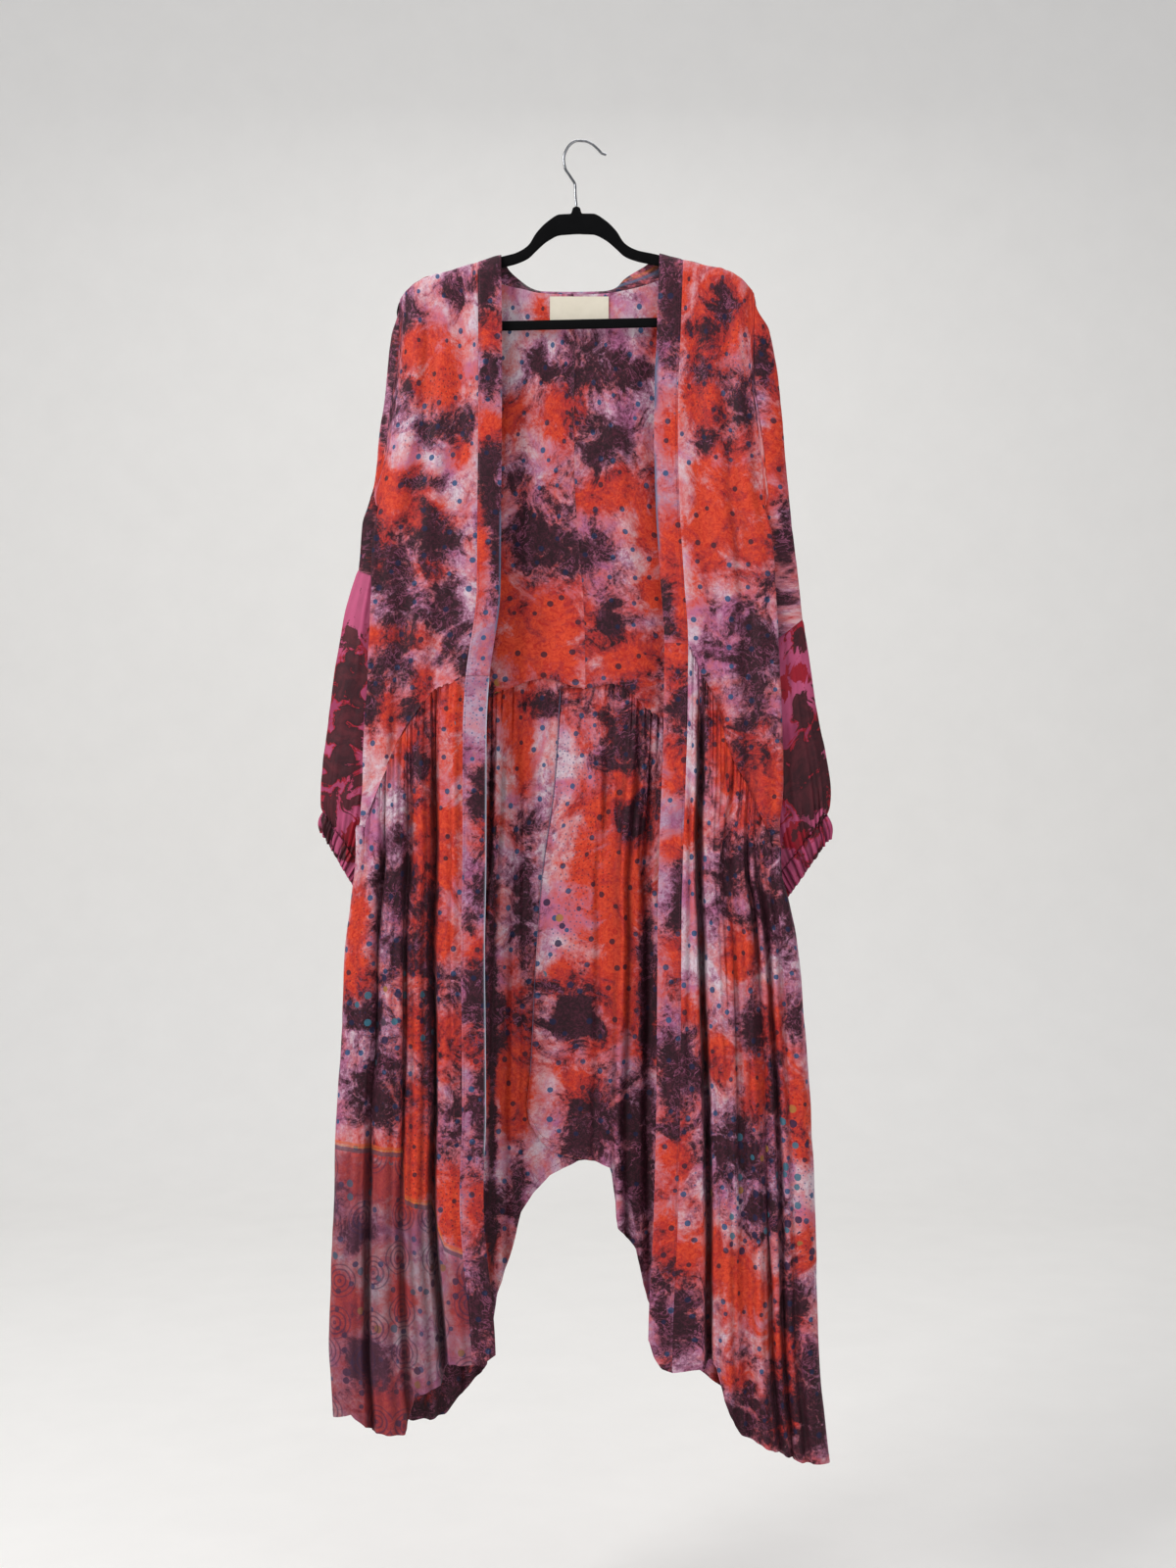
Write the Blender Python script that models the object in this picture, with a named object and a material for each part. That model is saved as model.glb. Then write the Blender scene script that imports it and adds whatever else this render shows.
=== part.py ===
"""A long open-front kimono coat of thin crepe, hanging from a slim clothes hanger.

The coat is cut and sewn from flat pieces, and each piece is one closed solid: a cloth wall that
follows the hanging garment. Sizes are millimetres until a mesh is made, which is in metres.
x is to the viewer's right, y goes away from the viewer, and "drop" is how far a point lies below
the inner top of the hook, where the hanger is held. "out" is the distance from the middle line.
"""

import math

import bpy
import numpy as np

MM = 0.001

# Cloth
WALL = 1.4
LABEL_WALL = 1.0
BAND_WALL = 1.8
CUFF_WALL = 1.6
BAND_ROLL = 2.5
BAND_END_REACH = 115.0
NECK_SEAM_LIFT = 1.1
SEAM_GAP = 0.3
SLANT = 1.9
WAIST_GAP = 0.9
LABEL_STAND = 0.7
SHOULDER_START = 0.6
BEHIND_ARM = 4.6
BEHIND_ARM_DROP = 0.3
BAND_WIDTH = 28.0
SHOULDER_ROLL = 26.0
SHOULDER_END_DROP = 138.0

# The side fold of a body panel grows from nothing at the underarm. Above it, the lines of the fold
# lie flat at the armhole, from a share of the width on.
SIDE_FOLD_START = 432.0
SIDE_FOLD_REACH = 44.0
ARMHOLE_SHARE = 0.9
ARMHOLE_STEP = 0.05
ARMHOLE_TURN = 0.78

# How far below its top edge a panel's folds are at their full depth, and how far beside the lap of
# the back skirt its gathers are
FOLD_GROWTH = 130.0
LAP_FADE = 36.0

# Hanger
HANGER_X = -2.0
HANGER_TILT = 0.0227
HANGER_THICKNESS = 5.0
BAR_TOP = 213.5
BAR_HEIGHT = 11.5
BAR_REACH = 196.0
CLOTH_ON_ARM = 2.0
HOOK_WIRE = 3.2

# The upper edge and the lower edge of one arm of the hanger, from its middle to its tip
ARM_ROWS = [
    # out, top, bottom
    (0.0, 77.0, 111.0),
    (4.0, 79.0, 111.0),
    (7.0, 86.0, 111.2),
    (20.0, 86.5, 112.0),
    (35.0, 95.0, 119.0),
    (48.0, 108.0, 130.0),
    (58.0, 123.0, 139.0),
    (72.0, 131.5, 145.0),
    (95.0, 137.2, 150.5),
    (121.0, 144.6, 157.5),
    (155.0, 154.0, 167.0),
    (182.0, 161.0, 174.5),
    (196.0, 169.0, 182.0),
    (207.0, 180.0, 190.5),
]
# The tip turns down and back to the bar: its outer edge and its inner edge
TIP_ROWS = [
    # outer out, outer drop, inner out, inner drop
    (214.0, 190.5, 205.5, 196.5),
    (216.0, 201.0, 206.0, 203.0),
    (212.5, 214.0, 203.5, 209.5),
    (205.0, 222.5, 200.0, 212.6),
]

# The front of the body: the inner edge of the band, the outer edge, the side seam, how far the
# cloth stands in front of the hanger, and half the thickness of the fold at the side.
FRONT_LEFT = [
    # drop, band, edge, seam, face, fold
    (138.0, 92.4, 214.0, 200.0, -12.0, 3.2),
    (245.0, 91.0, 214.6, 200.0, -14.0, 3.2),
    (312.0, 91.0, 223.5, 199.0, -16.0, 3.2),
    (366.0, 91.2, 230.5, 198.0, -18.0, 3.2),
    (429.0, 91.6, 244.0, 197.0, -20.0, 3.3),
    (538.0, 92.4, 246.8, 196.0, -22.0, 3.6),
    (655.0, 106.5, 251.5, 196.0, -23.5, 4.0),
    (714.0, 109.0, 255.0, 198.0, -25.0, 4.5),
    (803.0, 109.0, 258.6, 212.0, -27.5, 6.0),
    (866.0, 109.0, 262.0, 230.0, -29.5, 8.0),
    (906.0, 109.5, 268.0, 245.0, -31.0, 9.5),
    (966.0, 110.5, 276.0, 262.0, -32.5, 12.0),
    (1081.0, 109.4, 281.0, 268.0, -34.0, 14.0),
    (1164.0, 109.0, 287.0, 274.0, -35.0, 14.0),
    (1260.0, 112.0, 290.0, 277.0, -35.5, 14.0),
    (1443.0, 98.0, 296.0, 284.0, -36.0, 14.0),
    (1523.0, 96.0, 290.5, 279.0, -36.0, 14.0),
]
FRONT_RIGHT = [
    # drop, band, edge, seam, face, fold
    (138.0, 98.0, 213.0, 196.0, -12.0, 3.2),
    (245.0, 94.0, 211.0, 194.0, -14.0, 3.2),
    (287.0, 92.0, 212.0, 193.0, -15.0, 3.2),
    (358.0, 91.0, 221.0, 192.0, -17.5, 3.2),
    (429.0, 92.5, 228.0, 191.0, -20.0, 3.3),
    (538.0, 99.0, 236.0, 190.0, -22.0, 3.6),
    (602.0, 103.0, 239.0, 190.0, -23.0, 4.0),
    (700.0, 102.0, 243.0, 190.0, -25.0, 4.5),
    (763.0, 100.0, 244.5, 195.0, -26.5, 5.5),
    (840.0, 97.0, 240.0, 206.0, -28.5, 7.5),
    (880.0, 96.0, 242.0, 217.0, -30.0, 8.0),
    (909.0, 95.0, 250.0, 229.0, -31.0, 8.5),
    (957.0, 94.5, 260.6, 246.0, -32.0, 12.0),
    (1041.0, 94.0, 268.0, 255.0, -33.5, 14.0),
    (1149.0, 93.0, 275.0, 262.0, -35.0, 14.0),
    (1290.0, 90.0, 281.0, 268.0, -36.0, 14.0),
    (1431.0, 84.0, 284.5, 271.0, -36.0, 14.0),
    (1578.0, 82.0, 298.0, 284.0, -36.0, 14.0),
]

# The back of the body: its outer edge, how far it stands behind the hanger, half its side fold
BACK_LEFT = [
    # drop, edge, face, fold
    (138.0, 214.0, 11.0, 3.2),
    (245.0, 214.6, 14.0, 3.2),
    (312.0, 223.5, 15.0, 3.2),
    (366.0, 230.5, 16.0, 3.2),
    (429.0, 238.0, 18.0, 3.2),
    (538.0, 236.0, 20.0, 3.4),
    (714.0, 240.0, 21.0, 4.0),
    (803.0, 246.0, 22.5, 5.0),
    (906.0, 262.0, 25.0, 7.0),
    (966.0, 273.0, 28.0, 10.0),
    (1260.0, 287.0, 32.0, 13.0),
    (1523.0, 287.5, 34.0, 13.0),
]
BACK_RIGHT = [
    # drop, edge, face, fold
    (138.0, 213.0, 11.0, 3.2),
    (245.0, 211.0, 14.0, 3.2),
    (287.0, 212.0, 14.5, 3.2),
    (358.0, 221.0, 16.0, 3.2),
    (429.0, 227.0, 18.0, 3.2),
    (538.0, 228.0, 20.0, 3.4),
    (763.0, 234.0, 21.5, 4.5),
    (880.0, 236.0, 24.0, 6.5),
    (957.0, 256.0, 27.0, 10.0),
    (1149.0, 272.0, 31.0, 13.0),
    (1578.0, 295.0, 34.0, 13.0),
]

# The waist seam, which droops to the sides, and the hems
WAIST_FRONT_LEFT = [
    # out, drop
    (137.0, 643.0),
    (144.0, 649.0),
    (170.0, 661.0),
    (203.0, 703.0),
    (220.0, 735.0),
    (245.0, 800.0),
    (262.0, 850.0),
]
WAIST_FRONT_RIGHT = [
    # out, drop
    (131.0, 604.0),
    (146.0, 640.0),
    (161.0, 668.0),
    (183.0, 740.0),
    (201.0, 775.0),
    (224.0, 826.0),
    (245.0, 880.0),
]
WAIST_BACK = [
    # x, drop
    (-262.0, 850.0),
    (-200.0, 735.0),
    (-150.0, 690.0),
    (-97.0, 662.0),
    (-41.0, 644.0),
    (12.0, 657.0),
    (41.0, 652.0),
    (96.0, 690.0),
    (150.0, 715.0),
    (200.0, 770.0),
    (245.0, 870.0),
]
HEM_FRONT_LEFT = [
    # out, drop
    (97.0, 1448.0),
    (115.0, 1460.0),
    (155.0, 1459.0),
    (163.0, 1485.0),
    (194.0, 1497.0),
    (205.0, 1543.0),
    (244.0, 1540.0),
    (268.0, 1518.0),
    (290.0, 1523.0),
]
HEM_FRONT_RIGHT = [
    # out, drop
    (84.0, 1431.0),
    (90.0, 1451.0),
    (99.0, 1464.0),
    (112.0, 1469.0),
    (150.0, 1464.0),
    (162.0, 1456.0),
    (170.0, 1486.0),
    (178.0, 1514.0),
    (193.0, 1542.0),
    (234.0, 1563.0),
    (266.0, 1576.0),
    (298.0, 1578.0),
]
HEM_BACK_LEFT = [
    # out, drop
    (-14.0, 1230.0),
    (0.0, 1232.0),
    (35.0, 1250.0),
    (55.0, 1272.0),
    (70.0, 1295.0),
    (80.0, 1338.0),
    (98.0, 1390.0),
    (112.0, 1480.0),
    (139.0, 1513.0),
    (162.0, 1541.0),
    (201.0, 1549.0),
    (244.0, 1541.0),
    (290.0, 1523.0),
]
HEM_BACK_RIGHT = [
    # out, drop: the inner corner is rounded
    (-63.0, 1163.0),
    (-60.0, 1183.0),
    (-46.0, 1208.0),
    (-29.0, 1221.0),
    (-9.0, 1227.0),
    (20.0, 1232.0),
    (40.0, 1240.0),
    (48.0, 1312.0),
    (70.0, 1338.0),
    (84.0, 1400.0),
    (100.0, 1440.0),
    (140.0, 1480.0),
    (200.0, 1530.0),
    (250.0, 1560.0),
    (298.0, 1578.0),
]
NECKLINE = [
    # x, drop of the back neck seam
    (-120.0, 147.5),
    (-107.0, 158.0),
    (-95.0, 166.6),
    (-68.0, 173.5),
    (-42.0, 178.7),
    (-5.0, 180.0),
    (30.0, 179.0),
    (63.0, 173.6),
    (97.0, 163.4),
    (111.0, 153.0),
    (126.0, 141.5),
]

# The middle seam of the back, and the two free edges of the back skirt, which lap at the middle
CENTRE_BACK = [
    # drop, x
    (180.0, -4.0),
    (379.0, -4.7),
    (585.0, 8.0),
    (660.0, 9.0),
]
LAP_LEFT = [
    # drop, x of the free edge of the left piece, which lies behind
    (650.0, 22.0),
    (900.0, 18.0),
    (1235.0, 14.0),
]
LAP_RIGHT = [
    # drop, x of the free edge of the right piece
    (650.0, -21.0),
    (772.0, -29.0),
    (889.0, -44.5),
    (1006.0, -52.7),
    (1123.0, -58.5),
    (1163.0, -63.0),
]

# Where the two laps lie: how far one stands behind or before the other, and to what out
LAP_BEHIND = (2.3, 66.0)
LAP_BEFORE = (-2.3, 26.0)

# Folds run down a panel. Their place is a share of the panel's width, at its top and at its hem.
# A positive depth goes in towards the hanger's plane, a negative one stands out from it.
FOLDS_FRONT_LEFT = [
    # top, hem, half_width, depth
    (0.10, 0.09, 10.0, -3.0),
    (0.31, 0.22, 8.0, 20.0),
    (0.45, 0.36, 9.0, -6.0),
    (0.56, 0.50, 8.0, 9.0),
    (0.68, 0.66, 12.0, -5.0),
    (0.81, 0.79, 8.0, 13.0),
    (0.92, 0.91, 8.0, -3.0),
]
FOLDS_FRONT_RIGHT = [
    # top, hem, half_width, depth
    (0.14, 0.28, 8.0, 22.0),
    (0.30, 0.42, 12.0, -5.0),
    (0.47, 0.55, 10.0, 5.0),
    (0.60, 0.66, 8.0, -5.0),
    (0.70, 0.75, 7.0, 10.0),
    (0.81, 0.84, 7.0, 11.0),
    (0.92, 0.93, 7.0, 5.0),
]
FOLDS_BACK_LEFT = [
    # top, hem, half_width, depth
    (0.38, 0.36, 9.0, -4.0),
    (0.46, 0.45, 10.0, 9.0),
    (0.56, 0.56, 12.0, -7.0),
    (0.67, 0.67, 10.0, 12.0),
    (0.79, 0.79, 12.0, -6.0),
    (0.90, 0.90, 9.0, 9.0),
]
FOLDS_BACK_RIGHT = [
    # top, hem, half_width, depth
    (0.25, 0.26, 9.0, -4.0),
    (0.36, 0.34, 10.0, 8.0),
    (0.47, 0.45, 10.0, -6.0),
    (0.58, 0.57, 11.0, 12.0),
    (0.70, 0.70, 12.0, -7.0),
    (0.81, 0.82, 10.0, 12.0),
    (0.92, 0.92, 9.0, -5.0),
]
FOLDS_BODICE = [
    # top, hem, half_width, depth
    (0.22, 0.30, 16.0, 1.6),
    (0.45, 0.52, 18.0, -2.2),
    (0.66, 0.70, 16.0, 2.4),
    (0.84, 0.86, 14.0, -2.0),
]

# Sleeves
SLEEVE_SILHOUETTE_LEFT = [
    # drop, out
    (196.0, 217.6),
    (216.0, 222.0),
    (244.0, 226.0),
    (316.0, 233.0),
    (344.0, 238.0),
    (410.0, 243.5),
    (438.0, 251.5),
    (460.0, 258.6),
    (514.0, 264.0),
    (540.0, 270.0),
]
SLEEVE_SILHOUETTE_RIGHT = [
    # drop, out
    (186.0, 219.0),
    (213.0, 226.5),
    (242.0, 233.6),
    (298.0, 242.0),
    (344.0, 246.0),
    (390.0, 250.0),
    (480.0, 259.0),
    (559.0, 268.5),
    (640.0, 277.0),
]
# The two ends of the sleeve's cloth leave the armhole and close to a tube behind the side fold
UNDERARM = [
    # drop, share closed, out of the ends on the left, out of the ends on the right
    (429.0, 0.0, 244.0, 228.0),
    (440.0, 0.1, 240.0, 224.5),
    (452.0, 0.3, 234.0, 219.0),
    (470.0, 0.55, 222.0, 210.0),
    (490.0, 0.77, 214.0, 205.0),
    (510.0, 0.91, 210.0, 203.0),
    (540.0, 1.0, 208.4, 201.5),
    (640.0, 1.0, 208.4, 201.5),
]
UNDERARM_DROP = 429.0
ARMHOLE_DEPTH = 0.65
SLEEVE_DEPTH = 9.0
LOWER_SLEEVE_LEFT = [
    # outer out, outer drop, inner out, inner drop, half depth
    (264.8, 517.1, 208.4, 536.8, 9.0),
    (277.0, 559.0, 210.0, 575.0, 11.0),
    (292.5, 637.6, 211.0, 650.0, 12.0),
    (304.0, 729.0, 217.0, 735.0, 13.0),
    (309.6, 779.0, 230.0, 802.0, 12.5),
    (308.0, 796.0, 243.0, 848.0, 10.5),
    (304.0, 804.7, 255.0, 878.0, 7.0),
]
LOWER_SLEEVE_RIGHT = [
    # outer out, outer drop, inner out, inner drop, half depth
    (270.4, 575.2, 201.5, 626.9, 9.0),
    (276.0, 612.0, 202.0, 660.0, 11.0),
    (285.0, 680.0, 204.0, 718.0, 12.0),
    (297.0, 740.0, 209.0, 776.0, 12.5),
    (301.5, 780.0, 217.0, 826.0, 12.0),
    (300.0, 798.0, 227.0, 864.0, 10.0),
    (296.6, 807.7, 237.0, 884.0, 6.5),
]
CUFF_LEFT = [
    # outer out, outer drop, inner out, inner drop, half depth
    (304.2, 805.9, 255.8, 879.0, 6.8),
    (306.0, 817.0, 262.5, 886.5, 7.0),
    (306.5, 830.0, 269.5, 895.0, 7.6),
]
CUFF_RIGHT = [
    # outer out, outer drop, inner out, inner drop, half depth
    (297.0, 808.8, 237.8, 885.0, 6.3),
    (300.0, 821.0, 245.0, 896.5, 6.6),
    (301.5, 836.0, 252.0, 907.5, 7.4),
]
SLEEVE_SEAM_LEFT = (516.0, 0.35)
SLEEVE_SEAM_RIGHT = (574.0, 0.75)
CUFF_RUCHE = 1.1

# Back neck band: x of its seam, its crest and its free edge, as x, drop, y. It stands up at the
# sides and flops over to the outside at the middle.
NECK_BAND_ROWS = [
    # seam x, crest, free edge
    (-112.0, (-101.5, 144.0, 6.8), (-90.4, 138.6, 5.6)),
    (-95.0, (-91.0, 156.0, 13.0), (-84.0, 149.6, 13.0)),
    (-68.0, (-66.0, 167.2, 17.5), (-62.0, 167.4, 22.5)),
    (-42.0, (-41.0, 175.6, 18.6), (-40.0, 183.0, 23.6)),
    (-5.0, (-5.0, 176.6, 18.8), (-5.0, 189.0, 23.6)),
    (30.0, (30.0, 175.6, 18.6), (31.0, 185.5, 23.6)),
    (63.0, (61.0, 163.6, 16.2), (57.5, 158.6, 20.5)),
    (97.0, (91.0, 151.5, 12.2), (83.5, 144.0, 12.0)),
    (117.0, (105.5, 139.8, 6.8), (94.2, 134.8, 5.6)),
]

# Label
LABEL_X = (-34.0, 37.0)
LABEL_DROP = (183.0, 214.0)

# Hook wire, as x, drop along its middle
HOOK_ROUTE = [
    (-2.0, 76.7),
    (-3.2, 64.0),
    (-3.6, 52.0),
    (-9.0, 42.0),
    (-15.6, 31.0),
    (-17.2, 20.0),
    (-13.6, 8.6),
    (-7.2, 1.2),
    (0.0, -1.6),
    (8.6, -1.0),
    (16.8, 2.6),
    (23.6, 8.4),
    (28.6, 13.4),
    (34.0, 15.4),
]

# First guesses of the drop at which a panel's top edge lies, and of its length
FIRST_TOP = 150.0
FIRST_WAIST = 700.0
FIRST_LENGTH = 400.0

# How finely each piece is divided
BODICE_CELLS = 10
FOLD_CELLS = 3
RETURN_CELLS = 3
FRONT_SKIRT_CELLS = 21
BACK_SKIRT_CELLS = 26
SKIRT_ROWS = (0.0, 0.02, 0.055, 0.11, 0.19, 0.30, 0.42, 0.54, 0.66, 0.78, 0.89, 1.0)
SHOULDER_ROWS = (0.0, 0.005, 0.014, 0.035, 0.08, 0.17, 0.32, 0.48, 0.64, 0.80, 1.0)
WAIST_ROWS = (0.1, 0.22, 0.4, 0.7, 1.0)
UNDERARM_ROWS = (0.14, 0.3, 0.5, 0.74, 1.0)
SLEEVE_CELLS = 12
LOWER_SLEEVE_CELLS = 24
LOWER_SLEEVE_ROWS = 8
CUFF_ROWS = 3
NECK_BAND_CELLS = 20
HOOK_POINTS = 32

# Gathers just under the waist seam and above the cuffs
GATHER_DEPTH = 1.5
GATHER_REACH = 42.0
CUFF_GATHER_DEPTH = 1.6


def column(rows, number, at):
    """A column of a table read at the places `at` of its first column, on a smooth curve that
    never goes past the values of the rows beside it."""
    xs = np.array([row[0] for row in rows], float)
    ys = np.array([row[number] for row in rows], float)
    at = np.clip(np.asarray(at, float), xs[0], xs[-1])
    steps = np.diff(xs)
    slopes = np.diff(ys) / steps
    tangents = np.zeros(len(xs))
    for i in range(1, len(xs) - 1):
        before, after = slopes[i - 1], slopes[i]
        if before * after > 0:
            tangents[i] = 2 * before * after / (before + after)
    tangents[0], tangents[-1] = slopes[0], slopes[-1]
    i = np.clip(np.searchsorted(xs, at, side="right") - 1, 0, len(xs) - 2)
    t = (at - xs[i]) / steps[i]
    return (
        (2 * t**3 - 3 * t**2 + 1) * ys[i]
        + (t**3 - 2 * t**2 + t) * steps[i] * tangents[i]
        + (3 * t**2 - 2 * t**3) * ys[i + 1]
        + (t**3 - t**2) * steps[i] * tangents[i + 1]
    )


def straight(rows, number, at):
    """A column of a table, read on straight lines between its rows."""
    return np.interp(at, [row[0] for row in rows], [row[number] for row in rows])


def shoulder_drop(x):
    """Where the cloth lies on the arm of the hanger, which hangs a little higher on the right."""
    out = np.abs(np.asarray(x, float) - HANGER_X)
    tilt = HANGER_TILT * (np.asarray(x, float) - HANGER_X)
    upper_edge = ARM_ROWS + [row[:2] for row in TIP_ROWS[:2]]
    return column(upper_edge, 1, out) - tilt - CLOTH_ON_ARM


def bump(s):
    """A smooth hump, 1 in the middle and 0 from one half width on."""
    return np.clip(1 - np.asarray(s, float) ** 2, 0, None) ** 2


def ease(s):
    s = np.clip(np.asarray(s, float), 0, 1)
    return s * s * (3 - 2 * s)


class Body:
    """One side of the front or of the back. A place on it is (t, drop): t runs from 0 at the
    inner seam to 1 at the outer edge, to 2 round the side fold, to 3 at the side seam."""

    def __init__(self, side, inwards, edge, seam, face, fold, inner):
        self.side = side
        self.inwards = inwards
        self.edge, self.seam, self.face, self.fold, self.inner = edge, seam, face, fold, inner

    def outline(self, t, drop):
        """out and y of the plain cloth, before its folds."""
        inner, edge = self.inner(drop), self.edge(drop)
        face, fold, seam = self.face(drop), self.fold(drop), self.seam(drop)
        tucked = ease((drop - SIDE_FOLD_START) / SIDE_FOLD_REACH)
        sign = self.inwards
        across = np.clip(t, 0, 1)
        turn = np.clip(t - 1, 0, 1) * math.pi
        back = np.clip(t - 2, 0, 1) * math.pi / 2
        folded_out = inner + across * (edge - fold - inner)
        folded_y = face + 0 * t
        folded_out = np.where(t > 1, edge - fold + fold * np.sin(turn), folded_out)
        folded_y = np.where(t > 1, face + sign * fold * (1 - np.cos(turn)), folded_y)
        deep = face + sign * 2 * fold
        end = -sign * SEAM_GAP / 2
        folded_out = np.where(t > 2, edge - fold + (seam - edge + fold) * np.sin(back), folded_out)
        folded_y = np.where(t > 2, deep + (end - deep) * (1 - np.cos(back)), folded_y)
        reach = np.where(t <= 1, ARMHOLE_SHARE * t, ARMHOLE_SHARE + ARMHOLE_STEP * (t - 1))
        flat_out = inner + reach * (edge - inner)
        near_arm = ease((reach - ARMHOLE_TURN) / (1 - ARMHOLE_TURN))
        flat_y = face * (1 - (1 - ARMHOLE_DEPTH) * near_arm)
        out = flat_out + tucked * (folded_out - flat_out)
        y = flat_y + tucked * (folded_y - flat_y)
        return out, y

    def rolled(self, out, y, drop, top):
        """y near the shoulder, where the cloth rolls over the arm to its top edge."""
        share = np.clip((drop - top) / SHOULDER_ROLL, 0, 1)
        over = np.sqrt(np.clip(1 - (1 - share) ** 2, 0, 1))
        end = -self.inwards * SEAM_GAP / 2
        return end + (y - end) * over


def folds_at(t, drop, folds, top, hem, span):
    """Depth of the folds at shares t of the width, and t itself moved along with them."""
    way = np.clip((drop - top) / np.maximum(hem - top, 1), 0, 1)
    depth = np.zeros(np.broadcast(t, drop).shape)
    for fold_top, fold_hem, half_width, deep in folds:
        place = fold_top + (fold_hem - fold_top) * way
        depth = depth + deep * bump((t - place) * span / half_width)
    return depth


def stations(count, folds):
    """Shares of a panel's width for its vertical lines: even, then drawn to the folds' middles."""
    even = np.linspace(0, 1, count + 1)
    marks = [0.0] + [row[0] for row in folds] + [1.0]
    nearest = [0.0] + [even[int(np.argmin(np.abs(even - m)))] for m in marks[1:-1]] + [1.0]
    if len(set(nearest)) < len(nearest):
        return even
    return np.interp(even, nearest, marks)


def moved(t, drop, folds, top, hem):
    """Shares of the width at this drop, for vertical lines that follow the folds."""
    way = np.clip((drop - top) / np.maximum(hem - top, 1), 0, 1)
    tops = np.array([0.0] + [row[0] for row in folds] + [1.0])
    hems = np.array([0.0] + [row[1] for row in folds] + [1.0])
    shift = np.interp(t, tops, hems - tops)
    return t + shift * way


def world(side, out, drop, y):
    return np.stack([side * out * MM, y * MM, -drop * MM], axis=-1)


def grid_normals(points, ring):
    """Unit normals of a grid of points, first axis across and second axis down."""
    if ring:
        across = np.roll(points, -1, axis=0) - np.roll(points, 1, axis=0)
    else:
        across = np.gradient(points, axis=0)
    down = np.gradient(points, axis=1)
    normals = np.cross(across, down)
    lengths = np.linalg.norm(normals, axis=-1, keepdims=True)
    return normals / np.maximum(lengths, 1e-12)


def cloth(name, points, material, wall=WALL, ring=False, half=0):
    """A closed cloth wall on a grid of points in metres, as one object. `half` is -1 for a wall
    that ends before the hanger's plane, 1 for one that starts behind it."""
    offset = grid_normals(points, ring) * wall * MM / 2
    count, rows = points.shape[:2]
    vertices = np.concatenate([(points + offset).reshape(-1, 3), (points - offset).reshape(-1, 3)])
    if half:
        vertices[:, 1] = half * np.maximum(half * vertices[:, 1], SEAM_GAP / 2 * MM)
    inner = count * rows
    cells = count if ring else count - 1

    def at(i, j, layer):
        return layer * inner + (i % count) * rows + j

    faces = []
    for i in range(cells):
        for j in range(rows - 1):
            faces.append((at(i, j, 0), at(i + 1, j, 0), at(i + 1, j + 1, 0), at(i, j + 1, 0)))
            faces.append((at(i, j, 1), at(i, j + 1, 1), at(i + 1, j + 1, 1), at(i + 1, j, 1)))
        faces.append((at(i, 0, 0), at(i, 0, 1), at(i + 1, 0, 1), at(i + 1, 0, 0)))
        last = rows - 1
        faces.append((at(i, last, 0), at(i + 1, last, 0), at(i + 1, last, 1), at(i, last, 1)))
    if not ring:
        for j in range(rows - 1):
            faces.append((at(0, j, 0), at(0, j + 1, 0), at(0, j + 1, 1), at(0, j, 1)))
            end = count - 1
            faces.append((at(end, j, 0), at(end, j, 1), at(end, j + 1, 1), at(end, j + 1, 0)))
    return solid(name, vertices, faces, material)


def solid(name, vertices, faces, material):
    """An object from points and faces, turned so that its faces point out."""
    vertices = np.asarray(vertices)
    volume = 0.0
    for face in faces:
        for k in range(1, len(face) - 1):
            a, b, c = vertices[face[0]], vertices[face[k]], vertices[face[k + 1]]
            volume += np.dot(a, np.cross(b, c))
    if volume < 0:
        faces = [tuple(reversed(face)) for face in faces]
    mesh = bpy.data.meshes.new(name)
    mesh.from_pydata([tuple(v) for v in vertices], [], faces)
    mesh.update()
    mesh.shade_smooth()
    mesh.set_sharp_from_angle(angle=math.radians(50))
    mesh.materials.append(material)
    made = bpy.data.objects.new(name, mesh)
    bpy.context.scene.collection.objects.link(made)
    return made


def material(name, colour, roughness, metallic=0.0):
    made = bpy.data.materials.new(name)
    made.use_nodes = True
    shader = made.node_tree.nodes["Principled BSDF"]
    shader.inputs["Base Color"].default_value = (*colour, 1.0)
    shader.inputs["Roughness"].default_value = roughness
    shader.inputs["Metallic"].default_value = metallic
    return made


def front_body(side):
    rows = FRONT_LEFT if side < 0 else FRONT_RIGHT
    return Body(
        side,
        1,
        edge=lambda drop: column(rows, 2, drop),
        seam=lambda drop: column(rows, 3, drop),
        face=lambda drop: column(rows, 4, drop),
        fold=lambda drop: column(rows, 5, drop),
        inner=lambda drop: column(rows, 1, drop) + BAND_WIDTH,
    )


def back_body(side, inner):
    front_rows = FRONT_LEFT if side < 0 else FRONT_RIGHT
    rows = BACK_LEFT if side < 0 else BACK_RIGHT
    return Body(
        side,
        -1,
        edge=lambda drop: column(rows, 1, drop),
        seam=lambda drop: column(front_rows, 3, drop),
        face=lambda drop: column(rows, 2, drop),
        fold=lambda drop: column(rows, 3, drop),
        inner=inner,
    )


def bodice_back(side):
    return back_body(side, lambda drop: side * column(CENTRE_BACK, 1, drop) + SEAM_GAP / 2)


def body_lines(share_lines):
    """t of a body panel's vertical lines: those of its width, then the side fold, then the
    return to the side seam."""
    fold = 1 + np.arange(1, FOLD_CELLS + 1) / FOLD_CELLS
    way_back = 2 + np.arange(1, RETURN_CELLS + 1) / RETURN_CELLS
    return np.concatenate([share_lines, fold, way_back])


def settled(first, place):
    """The drop at which a line crosses a seam or a hem whose drop depends on the line's out."""
    drop = first
    for _ in range(14):
        drop = 0.5 * (drop + place(drop))
    return drop


def bodice_drops(top, hem):
    """Rows of a bodice: down to the underarm first, so that all the armholes share them."""
    upper = np.asarray(SHOULDER_ROWS)[None, :]
    lower = np.asarray(WAIST_ROWS)[None, :]
    top, hem = top[:, None], hem[:, None]
    above = top + (UNDERARM_DROP - top) * upper
    return np.concatenate([above, UNDERARM_DROP + (hem - UNDERARM_DROP) * lower], axis=1)


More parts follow.
